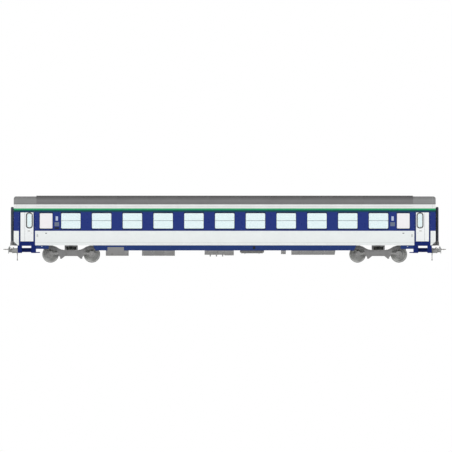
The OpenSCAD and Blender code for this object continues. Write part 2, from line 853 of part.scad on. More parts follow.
module axle_boxes() {
    arm_h = 130;
    color([0.45, 0.45, 0.45]) four_corners() {
        difference() {
            union() {
                translate([axle_dx, journal_y - 70, axle_z]) rotate([-90, 0, 0])
                    cylinder(r = axle_box_r, h = 150);
                block(arm_foot_x + fit, axle_dx, journal_y - 60, journal_y + 60,
                    axle_z - 20, axle_z - 20 + arm_h);
                block(axle_dx - 110, axle_dx + 110, journal_y - 70, journal_y + 70, axle_z, axle_box_top_z);
            }
            translate([axle_dx, journal_y - 80, axle_z]) rotate([-90, 0, 0])
                cylinder(d = journal_d + 2 * fit, h = 140);
        }
    }
}

// Calipers: two arms reach from the frame's cross tubes along each brake disc
module brake_gear() {
    arm_y = disc_half + 25;
    arm_x = cross_tube_x + cross_tube_r + 170;
    color([0.35, 0.35, 0.35]) four_corners() {
        block(cross_tube_x + cross_tube_r + fit, arm_x, disc_y - 130, disc_y + 130, 560, 660);
        for (side = [-1, 1])
            block(arm_x - 1, axle_dx - 170, disc_y + side * arm_y - 14, disc_y + side * arm_y + 14, 575, 645);
    }
}

// One solid of revolution: journals, wheel seats, two wheels with flanges, and two brake discs
module wheelset() {
    rim_in = wheel_gap / 2;
    rim_out = rim_in + rim_w;
    flange_w = 32;
    rim_r = wheel_r - 65;
    web_y = rim_in + rim_w * 0.45;
    hub_r = 125;
    axle_r = 85;
    half_outline = [
        [axle_r, 0], [axle_r, disc_y - disc_half - 40], [120, disc_y - disc_half - 40],
        [120, disc_y - disc_half], [brake_disc_d / 2, disc_y - disc_half],
        [brake_disc_d / 2, disc_y + disc_half], [120, disc_y + disc_half], [120, disc_y + disc_half + 40], [axle_r, disc_y + disc_half + 40],
        [axle_r, rim_in - 30], [hub_r, rim_in - 30], [hub_r, web_y - 22], [rim_r, web_y - 10],
        [rim_r - 8, rim_in + 8], [rim_r, rim_in], [wheel_r + flange_h * 0.8, rim_in],
        [wheel_r + flange_h, rim_in + 8], [wheel_r + flange_h, rim_in + 18], [wheel_r, rim_in + flange_w],
        [wheel_r - 3, rim_out - 8], [wheel_r - 9, rim_out], [rim_r, rim_out], [rim_r - 8, rim_out - 8],
        [rim_r, web_y + 14], [hub_r, web_y + 22], [hub_r, rim_out - 20], [axle_r, rim_out - 20],
        [journal_d / 2, rim_out + 12], [journal_d / 2, journal_y + 50], [0, journal_y + 50]
    ];
    n = len(half_outline);
    other_half = [for (i = [n - 1:-1:1]) [half_outline[i][0], -half_outline[i][1]]];
    color([0.52, 0.52, 0.52]) rotate([90, 0, 0]) rotate_extrude($fn = 128)
        polygon(concat(half_outline, other_half));
}

module at_bogie(end) {
    translate([end * bogie_x, 0, 0]) children();
}

module at_axle(end, which) {
    translate([end * bogie_x + which * axle_dx, 0, axle_z]) children();
}

floor();
underframe();
headstocks();
side_wall(-1);  // side_wall_left
side_wall(1);  // side_wall_right
mirror([1, 0, 0]) end_wall();  // end_wall_a
end_wall();  // end_wall_b
roof_middle();
mirror([1, 0, 0]) roof_end();  // roof_end_a
roof_end();  // roof_end_b
sills();
window_panes();
toilet_panes();
mirror([1, 0, 0]) mirror([0, 1, 0]) entrance_door();  // entrance_door_a_left
mirror([1, 0, 0]) entrance_door();  // entrance_door_a_right
mirror([0, 1, 0]) entrance_door();  // entrance_door_b_left
entrance_door();  // entrance_door_b_right
door_panes();
door_frames();
entrance_steps();
mirror([1, 0, 0]) end_door();  // end_door_a
end_door();  // end_door_b
mirror([1, 0, 0]) gangway_rubber();  // gangway_rubber_a
gangway_rubber();  // gangway_rubber_b
gangway_feet();
mirror([1, 0, 0]) buffers();  // buffers_a
buffers();  // buffers_b
couplings();
battery_boxes();
converter_boxes();
climate_unit();
air_reservoirs();
valve_boxes();
water_tanks();
partitions();
seat_frames();
seat_cushions();
seat_backs();
luggage_racks();
at_bogie(-1) bogie_frame();  // bogie_frame_a
at_bogie(1) bogie_frame();  // bogie_frame_b
at_bogie(-1) bolster();  // bolster_a
at_bogie(1) bolster();  // bolster_b
at_bogie(-1) springs();  // springs_a
at_bogie(1) springs();  // springs_b
at_bogie(-1) axle_boxes();  // axle_boxes_a
at_bogie(1) axle_boxes();  // axle_boxes_b
at_bogie(-1) brake_gear();  // brake_gear_a
at_bogie(1) brake_gear();  // brake_gear_b
at_axle(-1, -1) wheelset();  // wheelset_a1
at_axle(-1, 1) wheelset();  // wheelset_a2
at_axle(1, -1) wheelset();  // wheelset_b1
at_axle(1, 1) wheelset();  // wheelset_b2
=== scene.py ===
# %% [markdown]
# # The looks of a passenger coach
# The coach's construction is already there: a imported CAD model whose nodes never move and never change.
# This lesson dresses that frame. First come the measures, then small helpers that compute surfaces, then the
# finishes, and last the pieces that a construction model leaves out, such as springs, seals and cushions.
# X runs along the coach, Y across it and Z up, in metres. A reader looks at the coach from -Y.

# %% Load the fixed frame
import math

import bpy
import numpy as np
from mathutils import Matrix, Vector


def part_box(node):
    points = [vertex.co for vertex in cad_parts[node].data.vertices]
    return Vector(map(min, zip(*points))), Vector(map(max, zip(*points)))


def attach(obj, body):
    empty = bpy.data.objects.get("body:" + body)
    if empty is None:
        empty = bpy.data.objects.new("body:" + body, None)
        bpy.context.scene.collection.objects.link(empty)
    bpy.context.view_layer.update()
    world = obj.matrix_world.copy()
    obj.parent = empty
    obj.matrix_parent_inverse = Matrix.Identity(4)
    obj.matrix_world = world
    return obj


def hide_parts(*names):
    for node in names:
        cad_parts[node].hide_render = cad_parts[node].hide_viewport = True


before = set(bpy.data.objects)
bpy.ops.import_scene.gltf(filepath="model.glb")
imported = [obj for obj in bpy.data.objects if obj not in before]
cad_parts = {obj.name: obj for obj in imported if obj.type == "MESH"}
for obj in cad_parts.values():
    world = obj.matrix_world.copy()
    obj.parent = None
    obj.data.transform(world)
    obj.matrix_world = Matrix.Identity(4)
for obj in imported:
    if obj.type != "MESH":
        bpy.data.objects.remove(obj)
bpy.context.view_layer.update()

# %% [markdown]
# ## Measures
# Every place is worked out from the frame, so that the looks stay on the construction if a size changes.
# Only what no node shows, such as the height of a painted band, is a named value of its own.

# %% Read the measures that the pieces share
def corners(node):
    """The lowest and highest corner of a CAD node as two arrays."""
    low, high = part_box(node)
    return np.array(low), np.array(high)


AIR = 0.0003     # under a piece that lies on a CAD face, so that the two don't share a plane
FIT = 0.0005     # the construction's own gap round a pane
WALL_LOW, WALL_HIGH = corners("side_wall_right")
HALF_L, HALF_W, CANT = WALL_HIGH
INNER_Y, WALL_FOOT = WALL_LOW[1:]
FLOOR = corners("floor")[1][2]
PANE_LOW, PANE_HIGH = corners("window_panes")
PANE_FACE = PANE_HIGH[1]
WINDOW_W, TOILET_W, WINDOW_R, WINDOWS = 1.2, 0.8, 0.07, 11
WINDOW_H = PANE_HIGH[2] - PANE_LOW[2] + 2 * FIT
WINDOW_Z = (PANE_LOW[2] + PANE_HIGH[2]) / 2
PITCH = (2 * PANE_HIGH[0] + 2 * FIT - WINDOW_W) / (WINDOWS - 1)
BAYS = (np.arange(WINDOWS) - (WINDOWS - 1) / 2) * PITCH
EVERY_BAY = [(x, 0, 0) for x in BAYS]
TOILET_X = corners("toilet_panes")[1][0] + FIT - TOILET_W / 2
DOOR_LOW, DOOR_HIGH = corners("entrance_door_b_right")
DOOR_X, DOOR_FACE = (DOOR_LOW[0] + DOOR_HIGH[0]) / 2, DOOR_HIGH[1]
PORTAL_HIGH = corners("door_frames")[1]
LIGHT_W, LIGHT_H = 0.29, 0.84
LIGHT_X = corners("door_panes")[1][0] + FIT - LIGHT_W / 2
LIGHT_Z = sum(corners("door_panes"))[2] / 2
ROOF_LOW, ROOF_HIGH = corners("roof_middle")
SILL_FACE, SILL_FOOT = corners("sills")[1][1], corners("sills")[0][2]
BOGIE_X = [sum(corners(f"bolster_{end}"))[0] / 2 for end in "ab"]
AXLES = {name: sum(corners(f"wheelset_{name}")) / 2 for name in ("a1", "a2", "b1", "b2")}
AXLE_Z = AXLES["b1"][2]
AXLE_DX = (AXLES["b2"][0] - AXLES["b1"][0]) / 2
JOURNAL_Y = 1.005
WAIST, BLUE_TOP, GREY_FROM, HEM = WALL_FOOT + 0.881, CANT - 0.146, CANT + 0.211, WALL_FOOT + 0.171
print("window pitch %.3f m, door middle %.3f m, axles %.3f m apart" % (PITCH, DOOR_X, 2 * AXLE_DX))

# %% [markdown]
# ## Surfaces from arrays
# A shape here is a pair: an array of points, and a list of arrays of faces. Whole arrays are quicker than
# adding vertices one by one, and a formula keeps a curve smooth at any number of points.
# Faces must point outwards. Rather than think about each one, `outward` measures the volume that the faces
# enclose: if it comes out negative the shape is inside out, and all faces are turned round.

# %% Grids, joins, copies and mirror images
def grid_faces(rows, columns, wrap_rows=False, wrap_columns=False):
    """One quad for each cell of a grid of points; a wrapped direction joins its last line to its first."""
    r = np.arange(rows if wrap_rows else rows - 1)[:, None]
    c = np.arange(columns if wrap_columns else columns - 1)[None, :]
    r2, c2 = (r + 1) % rows, (c + 1) % columns
    around = (r * columns + c, r2 * columns + c, r2 * columns + c2, r * columns + c2)
    return np.stack(np.broadcast_arrays(*around), -1).reshape(-1, 4)


def outward(shape):
    """Turns all faces round where the volume under them, a sum of tetrahedra, is negative."""
    points, faces = shape
    centred = points - points.mean(0)
    volume = 0.0
    for group in faces:
        p = centred[group]
        for k in range(1, group.shape[1] - 1):
            volume += np.sum(p[:, 0] * np.cross(p[:, k], p[:, k + 1]))
    return shape if volume > 0 else (points, [group[:, ::-1] for group in faces])


def tube(rings, closed=False):
    """The skin over a row of closed rings: an array of (ring, point, XYZ). The last ring joins the first
    where the row is closed; if not, a flat face closes each end, and runs against its neighbours' edges."""
    count, around = rings.shape[:2]
    faces = [grid_faces(count, around, closed, True)]
    if not closed:
        end = np.arange(around)[None]
        faces += [end, (count - 1) * around + end[:, ::-1]]
    return outward((rings.reshape(-1, 3), faces))


def join(*shapes):
    """Puts shapes in one: each shape's faces count on from the points before it."""
    starts = np.cumsum([0] + [len(points) for points, _ in shapes])
    faces = [group + start for (_, groups), start in zip(shapes, starts) for group in groups]
    return np.concatenate([points for points, _ in shapes]), faces


def repeated(shape, offsets):
    """A copy of a shape at every offset, as one shape."""
    points, faces = shape
    offsets = np.asarray(offsets, float).reshape(-1, 3)
    shifts = (np.arange(len(offsets)) * len(points))[:, None, None]
    copies = (points[None] + offsets[:, None]).reshape(-1, 3)
    return copies, [(group[None] + shifts).reshape(-1, group.shape[1]) for group in faces]


def mirrored(shape, *axes):
    """A shape and its mirror image across each given axis; an image's faces run backwards to stay outward."""
    for axis in axes:
        points, faces = shape
        image = points * np.where(np.arange(3) == axis, -1, 1)
        shape = join(shape, (image, [group[:, ::-1] for group in faces]))
    return shape


def at_end(shape, end):
    """The shape at the coach's +X end, or its mirror image at the -X end."""
    points, faces = shape
    return shape if end == "b" else (points * [-1, 1, 1], [group[:, ::-1] for group in faces])


def facing_x(shape, z=0.0):
    """Swaps X and Y, so that what faced along Y faces along X, and lifts it to a height."""
    return outward((shape[0][:, [1, 0, 2]] + [0, 0, z], shape[1]))


# %% [markdown]
# ## Four ways to make a surface
# Nearly all of a coach is boxes with soft edges, bars along a path, turned parts, and profiles that run round
# a frame. Each is one function of two parameters. A soft edge matters: light catches it, and a box
# without one looks like paper.

# %% Soft boxes, bars, turned parts and rings
def block_skin(lines, radius):
    """A closed box skin on three lists of grid lines. Each point is then moved to lie one radius away from
    the smaller box that lies a radius inside, which rounds the edges and corners."""
    points, faces, start = [], [], 0
    for axis in range(3):
        u, v = (axis + 1) % 3, (axis + 2) % 3
        across, up = np.meshgrid(lines[u], lines[v], indexing="ij")
        quads = grid_faces(len(lines[u]), len(lines[v]))
        for end in (0, -1):
            side = np.empty(across.shape + (3,))
            side[..., u], side[..., v], side[..., axis] = across, up, lines[axis][end]
            points.append(side.reshape(-1, 3))
            faces.append((quads if end else quads[:, ::-1]) + start)
            start += across.size
    points, index = np.unique(np.concatenate(points).round(7), axis=0, return_inverse=True)
    core = np.clip(points, points.min(0) + radius, points.max(0) - radius)
    out = points - core
    length = np.linalg.norm(out, axis=1, keepdims=True)
    return core + out * np.minimum(1, radius / np.maximum(length, 1e-9)), [index.ravel()[f] for f in faces]


def soft_box(x0, x1, y0, y1, z0, z1, radius=0.004):
    """A box with chamfered edges."""
    ends = ((x0, x1), (y0, y1), (z0, z1))
    return block_skin([[a, a + radius, b - radius, b] for a, b in ends], radius)


def bar(path, radius, sides=10, closed=False):
    """A round bar: a circle stands square to the path at each point. Its two directions are cross products
    of the path's own direction and of the world axis that the path follows least."""
    path = np.asarray(path, float)
    ahead = np.roll(path, -1, 0) - np.roll(path, 1, 0) if closed else np.gradient(path, axis=0)
    ahead /= np.linalg.norm(ahead, axis=1, keepdims=True)
    side = np.cross(ahead, np.eye(3)[np.abs(ahead).max(0).argmin()])
    side /= np.linalg.norm(side, axis=1, keepdims=True)
    up = np.cross(side, ahead)
    turn = np.linspace(0, 2 * np.pi, sides, endpoint=False)[None, :, None]
    return tube(path[:, None] + radius * (np.cos(turn) * side[:, None] + np.sin(turn) * up[:, None]), closed)


def turned(profile, centre, axis="x", sides=20):
    """A turned part: a profile of (distance along the axis, radius) spun about the axis, with flat ends."""
    along, radius = np.asarray(profile, float).T[..., None]
    turn = np.linspace(0, 2 * np.pi, sides, endpoint=False)[None, :]
    rings = np.stack(np.broadcast_arrays(along, radius * np.cos(turn), radius * np.sin(turn)), -1)
    return tube(np.roll(rings, "xyz".index(axis), axis=-1) + np.asarray(centre, float))


def circle(radius, count, start=0.0):
    """Evenly spaced points round a circle, as rows of two."""
    angle = np.arange(count) * 2 * np.pi / count + start
    return radius * np.stack([np.cos(angle), np.sin(angle)], 1)


def frame_outline(width, height, radius, steps=5):
    """A rounded rectangle about (0, 0) as points and their outward directions, by angle round each corner."""
    angle = (np.linspace(0, np.pi / 2, steps)[None] + np.arange(4)[:, None] * np.pi / 2).ravel()
    out = np.stack([np.cos(angle), np.sin(angle)], 1)
    corner = np.repeat([[1, 1], [-1, 1], [-1, -1], [1, -1]], steps, axis=0)
    return corner * [width / 2 - radius, height / 2 - radius] + radius * out, out


def carried(line, out, profile, closed=True):
    """A closed profile of (outward, Y) pairs carried along an X-Z line with given outward directions."""
    profile = np.asarray(profile, float)
    points = np.empty((len(line), len(profile), 3))
    points[..., [0, 2]] = line[:, None] + out[:, None] * profile[None, :, :1]
    points[..., 1] = profile[:, 1]
    return tube(points, closed)


def ring(width, height, radius, profile, x=0.0, z=0.0, steps=5):
    """A frame in an X-Z plane: a profile carried round a rounded rectangle."""
    line, out = frame_outline(width, height, radius, steps)
    return carried(line + [x, z], out, profile)


def band(path, width, thickness, middle):
    """A flat strip along an X-Z path: a rectangle of a width across Y and a thickness square to the path."""
    path = np.asarray(path, float)
    ahead = np.gradient(path, axis=0)
    out = np.stack([-ahead[:, 1], ahead[:, 0]], 1) / np.linalg.norm(ahead, axis=1, keepdims=True)
    a, b = middle - width / 2, middle + width / 2
    return carried(path, out, [[0, a], [thickness, a], [thickness, b], [0, b]], False)


def half_round(inner, outer, back, front):
    """A profile for a ring: flat at the back, and arched to the front between an inner and outer edge."""
    angle = np.linspace(0, np.pi, 7)
    across = (inner + outer) / 2 + (outer - inner) / 2 * np.cos(angle)
    arch = np.stack([across, back + (front - back) * (0.35 + 0.65 * np.sin(angle))], 1)
    return np.concatenate([[[outer, back]], arch, [[inner, back]]])


def extruded(outline, low, high, axis="y"):
    """A flat X-Z (or other) outline given a thickness along an axis: a tube of two rings."""
    outline = np.asarray(outline, float)
    rings = np.stack([np.insert(outline, "xyz".index(axis), level, axis=1) for level in (low, high)])
    return tube(rings)


def standing_rail(axis, level, wall, reach, z0, z1, radius, steps):
    """A rail that stands off a wall and turns in to its two feet with quarter bends. It lies in the plane
    where the axis is at a level."""
    bend = np.linspace(0, np.pi / 2, steps)
    foot = np.stack([wall + reach * np.sin(bend), z0 + reach * (1 - np.cos(bend))], 1)
    head = np.stack([foot[::-1, 0], z1 - (foot[::-1, 1] - z0)], 1)
    return bar(np.insert(np.concatenate([foot, head]), axis, level, axis=1), radius)


# %% Put a shape into the scene
FINISHES = {}    # every material that this lesson makes, by its own name; the frame has some of its own


def add_piece(name, shape, finish, body="coach", slot=None, sharp=38, stands_for=None):
    """Makes a mesh object from a shape, with smooth faces that stay sharp over an angle, and lets it ride.
    The finish is a name in FINISHES. Where the piece stands for a CAD node, that node is hidden."""
    points, faces = shape
    mesh = bpy.data.meshes.new(name)
    sizes = np.concatenate([np.full(len(group), group.shape[1]) for group in faces])
    loops = np.concatenate([group.ravel() for group in faces])
    mesh.vertices.add(len(points))
    mesh.vertices.foreach_set("co", points.astype(np.float32).ravel())
    mesh.loops.add(len(loops))
    mesh.loops.foreach_set("vertex_index", loops.astype(np.int32))
    mesh.polygons.add(len(sizes))
    mesh.polygons.foreach_set("loop_start", (np.cumsum(sizes) - sizes).astype(np.int32))
    mesh.update(calc_edges=True)
    mesh.validate()
    mesh.shade_smooth()
    mesh.set_sharp_from_angle(angle=math.radians(sharp))
    mesh.materials.append(FINISHES[finish])
    piece = bpy.data.objects.new(name, mesh)
    bpy.context.scene.collection.objects.link(piece)
    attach(piece, body)
    if stands_for:
        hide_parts(stands_for)
    print("%-24s %7d faces on %s" % (name, len(sizes), body))
    return piece


def add_at_ends(name, shape, finish, body="coach", **more):
    """The same piece at both ends, named _a and _b; {} in the body's name is the end's letter too."""
    for end in "ab":
        add_piece(f"{name}_{end}", at_end(shape, end), finish, body.format(end), **more)


def add_on_bogies(name, shape, finish, **more):
    """The same piece on both bogies. The shape is drawn for a bogie that stands over X = 0."""
    for end, x in zip("ab", BOGIE_X):
        add_piece(f"{name}_{end}", repeated(shape, [(x, 0, 0)]), finish, f"bogie_{end}", **more)


# %% [markdown]
# ## Finishes
# A real surface is never one colour. Each finish below starts from one paint, metal or rubber and then gets
# the same four things: cloudy colour, dust that thickens towards the rails, uneven gloss, and a fine bump.
# All of them read Object coordinates, which are metres on the coach, so a band of paint is simply a range
# of Z. `Finish` wraps Blender's node tree, so that a finish reads like a recipe.

# %% The finish maker
DUST, WORN_METAL, OIL = "#857b6b", "#a9a39a", "#4a443d"


def colour(code):
    """A web colour as the linear values that a shader works in."""
    part = np.array([int(code[k:k + 2], 16) for k in (1, 3, 5)]) / 255
    linear = np.where(part <= 0.04045, part / 12.92, ((part + 0.055) / 1.055) ** 2.4)
    return (*linear.tolist(), 1.0)


class Finish:
    """A material under construction, kept in FINISHES by its name. Each call adds one node and gives back its
    output socket. A value may be a socket, a number or a web colour."""

    def __init__(self, name, metal=0.0, coat=0.0, shine=0.3, **sockets):
        self.material = FINISHES[name] = bpy.data.materials.new(name)
        self.material.use_nodes = True
        self.tree = self.material.node_tree
        self.shader = self.tree.nodes["Principled BSDF"]
        self.surface(Metallic=metal, Coat_Weight=coat, Specular_IOR_Level=shine, **sockets)
        self.place = self.add("TexCoord").outputs["Object"]
        self.x, self.y, self.z = self.add("SeparateXYZ", Vector=self.place).outputs

    def add(self, kind, settings=None, **inputs):
        node = self.tree.nodes.new("ShaderNode" + kind)
        for key, value in (settings or {}).items():
            setattr(node, key, value)
        for key, value in inputs.items():
            self.feed(node.inputs[key.replace("_", " ")], value)
        return node

    def feed(self, socket, value):
        if isinstance(value, bpy.types.NodeSocket):
            self.tree.links.new(value, socket)
        else:
            socket.default_value = colour(value) if isinstance(value, str) else value

    def surface(self, **inputs):
        """Feeds sockets of the shader itself."""
        for key, value in inputs.items():
            self.feed(self.shader.inputs[key.replace("_", " ")], value)

    def math(self, operation, *values):
        node = self.add("Math", {"operation": operation})
        for socket, value in zip(node.inputs, values):
            self.feed(socket, value)
        return node.outputs[0]

    def times(self, first, second):
        return self.math("MULTIPLY", first, second)

    def either(self, first, second):
        return self.math("MAXIMUM", first, second)

    def mix(self, share, first, second):
        """Colour first where the share is 0, and second where it is 1."""
        node = self.add("Mix", {"data_type": "RGBA"})
        for socket, value in zip((node.inputs[0], node.inputs[6], node.inputs[7]), (share, first, second)):
            self.feed(socket, value)
        return node.outputs[2]

    def noise(self, scale, detail=3.0, stretch=None):
        place = self.add("Mapping", Vector=self.place, Scale=stretch).outputs[0] if stretch else self.place
        return self.add("TexNoise", Vector=place, Scale=scale, Detail=detail).outputs[0]

    def ramp(self, value, low, high, bottom=0.0, top=1.0):
        """Rises smoothly from bottom to top while the value goes from low to high."""
        node = self.add("MapRange", {"interpolation_type": "SMOOTHSTEP"})
        for socket, number in zip(node.inputs, (value, low, high, bottom, top)):
            self.feed(socket, number)
        return node.outputs[0]

    def near(self, value, centre, half):
        """1 where a value lies within half of the centre, and 0 elsewhere."""
        return self.math("COMPARE", value, centre, half)

    def away(self, axis):
        """The distance from the coach's middle plane across an axis."""
        return self.math("ABSOLUTE", axis)

    def rectangle(self, x, z, half_x, half_z):
        """1 inside a rectangle that stands at both ends of the coach, at plus and minus X."""
        return self.times(self.near(self.away(self.x), x, half_x), self.near(self.z, z, half_z))

    def bump(self, height, distance, strength=1.0):
        """Adds a height to those before it: each Bump node hands its normal on to the next."""
        before = self.shader.inputs["Normal"].links
        node = self.add("Bump", Height=height, Distance=distance, Strength=strength)
        if before:
            self.feed(node.inputs["Normal"], before[0].from_socket)
        self.surface(Normal=node.outputs[0])

    def weather(self, base, rough=0.45, clouds=0.08, dust=0.25, dust_top=1.5, grain=0.0004, grain_scale=90.0):
        """Cloudy colour, dust from the track, uneven gloss and a fine bump, over a base colour or socket."""
        shade = self.math("MULTIPLY_ADD", self.math("SUBTRACT", self.noise(1.7, 5.0), 0.5), clouds * 2, 1.0)
        toned = self.add("HueSaturation", Color=base, Value=shade).outputs[0]
        streak = self.noise(2.3, 4.0, (1.0, 1.0, 0.35))
        dusty = self.times(self.ramp(self.z, 0.1, dust_top, dust, 0.0),
                           self.ramp(streak, 0.25, 0.75, 0.35, 1.0))
        gloss = self.math("MULTIPLY_ADD", self.math("SUBTRACT", self.noise(6.0, 3.0), 0.5), 0.22, rough)
        self.surface(Base_Color=self.mix(dusty, toned, DUST),
                     Roughness=self.math("ADD", gloss, self.times(dusty, 0.3)))
        self.bump(self.noise(grain_scale, 2.0), grain)


def dress(finish, *nodes):
    """Gives CAD nodes a finish through their own material slots; their meshes stay as they are."""
    material = FINISHES[finish]
    for name in nodes:
        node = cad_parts[name]
        if not node.material_slots:
            node.data.materials.append(material)
        for slot in node.material_slots:
            slot.material = material


def plain(name, code, rough=0.5, metal=0.0, shine=0.3, **weather):
    """A one-paint finish with the usual weather on it."""
    Finish(name, metal, shine=shine).weather(code, rough, **weather)


# %% [markdown]
# ### The livery
# The side walls wear four bands: a white lower panel, a broad blue window band, a green line and a pale band
# under the roof. They are masks on Z in one material, not separate strips, because paint has no thickness.
# Dark flanges lie over and under every window. Blank plates stand where the class signs and notices would be.

# %% Side wall paint
WHITE, BLUE, GREEN, TEAL, PALE, LAMINATE = "#eaeeee", "#1b2f78", "#279a62", "#053f48", "#e2e8e5", "#cfc8b4"
SEAM, NUMBER_PLATE_Z = 0.006, 2.10


def livery_bands(f):
    """The bands and window flanges of the side wall, as one colour socket."""
    paint = f.mix(f.ramp(f.z, WAIST - 0.002, WAIST + 0.002), WHITE, BLUE)
    paint = f.mix(f.ramp(f.z, BLUE_TOP - 0.14, BLUE_TOP - 0.06), paint, TEAL)
    for edge, band_colour in ((BLUE_TOP + 0.005, GREEN), (BLUE_TOP + 0.108, PALE)):
        paint = f.mix(f.ramp(f.z, edge, edge + 0.003), paint, band_colour)
    paint = f.mix(f.near(f.z, HEM, 0.009), paint, "#cfd3d0")
    bay = f.math("WRAP", f.x, PITCH / 2, -PITCH / 2)
    flange = f.times(f.near(bay, 0.0, WINDOW_W / 2 + 0.012), f.near(f.z, WINDOW_Z, WINDOW_H / 2 + 0.058))
    saloon = f.near(f.x, 0.0, PANE_HIGH[0] + 0.1)
    toilet = f.rectangle(TOILET_X, WINDOW_Z, TOILET_W / 2 + 0.012, WINDOW_H / 2 + 0.05)
    return f.mix(f.either(f.times(flange, saloon), toilet), paint, "#14213a")


def side_paint():
    """Livery bands, blank plates as small rectangles, sheet joints once a bay, and a slight waviness."""
    f = Finish("coach_livery", shine=0.2)
    paint = livery_bands(f)
    sign_x = (PANE_HIGH[0] + TOILET_X - TOILET_W / 2) / 2 + 0.002
    plates = (("#b9c2dc", sign_x, 2.69, 0.07, 0.13), ("#6a7387", sign_x, 2.34, 0.14, 0.12),
              ("#1b2033", sign_x, NUMBER_PLATE_Z, 0.14, 0.06), ("#4d5358", TOILET_X, 1.79, 0.055, 0.022),
              ("#c2c6c6", PORTAL_HIGH[0] - 1.13, 1.65, 0.045, 0.085))
    one_end = f.math("LESS_THAN", f.x, 0.0)
    edges = 0.0
    for code, x, z, half_x, half_z in plates:
        here = one_end if z == NUMBER_PLATE_Z else 1.0
        paint = f.mix(f.times(f.rectangle(x, z, half_x, half_z), here), paint, code)
        edges = f.either(edges, f.times(f.rectangle(x, z, half_x + 0.004, half_z + 0.004), here))
    paint = f.mix(f.near(f.y, 0.0, INNER_Y + 0.004), paint, LAMINATE)
    f.bump(edges, 0.002)
    joint = f.near(f.math("WRAP", f.x, PITCH, 0.0), PITCH / 2, SEAM / 2)
    f.bump(f.either(joint, f.near(f.z, HEM, 0.004)), 0.0015, 0.6)
    f.bump(f.noise(1.1, 1.0, (1.0, 1.0, 0.6)), 0.01)
    f.weather(paint, rough=0.3, clouds=0.035, dust=0.16, dust_top=1.7, grain=0.00015)


side_paint()
dress("coach_livery", "side_wall_left", "side_wall_right")
print("livery bands at %.3f, %.3f and %.3f m" % (WAIST, BLUE_TOP, CANT))

# %% [markdown]
# ### Roof paint
# The foot of the roof is still light grey, like the walls, with a painted shadow line over it. Above it the
# roof is mid grey, and painted shade makes it darker towards the top, where the arch turns away from the
# side; long streaks of soot, thicker towards the top, lie over it. The lower roofs over the entrances are a
# little paler.

# %% Roof paint
CORNER_R, RIBS = 0.5, 22
ROOF_RISE = ROOF_HIGH[2] - CANT
ARCH_R = ((HALF_W - CORNER_R) ** 2 + ROOF_RISE ** 2 - CORNER_R ** 2) / (2 * (ROOF_RISE - CORNER_R))
ARCH_CENTRE = np.array([0.0, ROOF_HIGH[2] - ARCH_R])
TURN = math.acos((HALF_W - CORNER_R) / (ARCH_R - CORNER_R))


def roof_paint(name, low_code, shaded_top_code, top, streaks, rib_groove_darkening):
    """Greys by height with painted shade that darkens them towards the top, darker bands in the grooves
    between the ribs by the angle round the arch, a painted shadow line over the light-grey foot, and soot in
    long streaks.
    """
    f = Finish(name, shine=0.08)
    # Painted shade: the grey darkens from the foot towards the top of the arch, which turns away from the
    # side.
    grey = f.mix(f.ramp(f.z, GREY_FROM + 0.2, top), low_code, shaded_top_code)
    # Painted shadow: a dark line just over the foot of the grey, along the ledge.
    grey = f.mix(f.near(f.z, GREY_FROM + 0.018, 0.018), grey, "#626262")
    paint = f.mix(f.near(f.z, CANT, GREY_FROM - CANT), grey, "#e1e3e3")
    # Darker in the grooves between the ribs, by the angle round the arch.
    angle = f.math("ARCTAN2", f.y, f.math("SUBTRACT", f.z, ARCH_CENTRE[1]))
    rib = f.math("COSINE", f.times(angle, 2 * math.pi * RIBS / (math.pi - 2 * TURN)))
    on_top = f.ramp(f.z, GREY_FROM + 0.02, GREY_FROM + 0.06)
    paint = f.mix(f.times(on_top, f.ramp(rib, 0.2, 0.9, rib_groove_darkening, 0.0)), paint, "#4a4a4a")
    paint = f.mix(f.near(f.away(f.x), HALF_L - 0.19, 0.005), paint, "#9a9c9b")
    # Streaks of soot, random along the roof; their share grows towards the top, so they add to the painted
    # shade there.
    soot = f.ramp(f.noise(0.9, 5.0, (0.25, 1.6, 1.6)), 0.45, 0.75, 0.0, streaks)
    paint = f.mix(f.times(f.ramp(f.z, GREY_FROM, top), soot), paint, "#3f3d3b")
    f.bump(f.noise(2.2, 2.0), 0.004)
    f.weather(paint, rough=0.55, clouds=0.07, dust=0.0, grain=0.0004)


roof_paint("roof_grey", "#7e7e7f", "#454444", ROOF_HIGH[2], 0.3, 0.3)
roof_paint("roof_end_grey", "#868787", "#6a6a6a", corners("roof_end_b")[1][2], 0.2, 0.0)
dress("roof_grey", "roof_middle")
dress("roof_end_grey", "roof_end_a", "roof_end_b")

# %% [markdown]
# ### Glass
# Coach glass is seen twice, once in each wall, so each surface may tint the view only a little. The alpha is
# low and the base colour is a pale cyan. Layer Weight makes the pane more opaque at a flat angle: its real
# gloss grows, and its colour turns pale grey-blue, a painted reflection. Seen square on, a clear pane also
# gives off a faint cyan glow, a painted light.
# Toilet windows are milky: nearly the whole surface scatters light.

# %% Glass
def glass(name, code, clear, flat, rough, glow=0.0):
    """A pane whose alpha rises from clear, seen square on, to flat, seen along its surface."""
    # Painted light: seen square on, the pane gives off a faint cyan glow by the glow value; at a flat angle
    # its colour turns pale grey-blue, a painted reflection.
    f = Finish(name, shine=0.5, IOR=1.5, Emission_Color="#00f4ff")
    facing = f.add("LayerWeight", Blend=0.35).outputs["Facing"]
    tint = f.mix(f.ramp(f.noise(3.0), 0.3, 0.7, 0.0, 0.15), code, "#f2fbff")
    f.surface(Base_Color=f.mix(f.ramp(facing, 0.05, 0.4), tint, "#aebfc6"),
              Alpha=f.ramp(facing, 0.15, 1.0, clear, flat),
              Emission_Strength=f.ramp(facing, 0.05, 0.3, glow, 0.0),
              Roughness=f.math("MULTIPLY_ADD", f.noise(9.0), 0.05, rough))
    f.bump(f.noise(0.8, 1.0), 0.002)


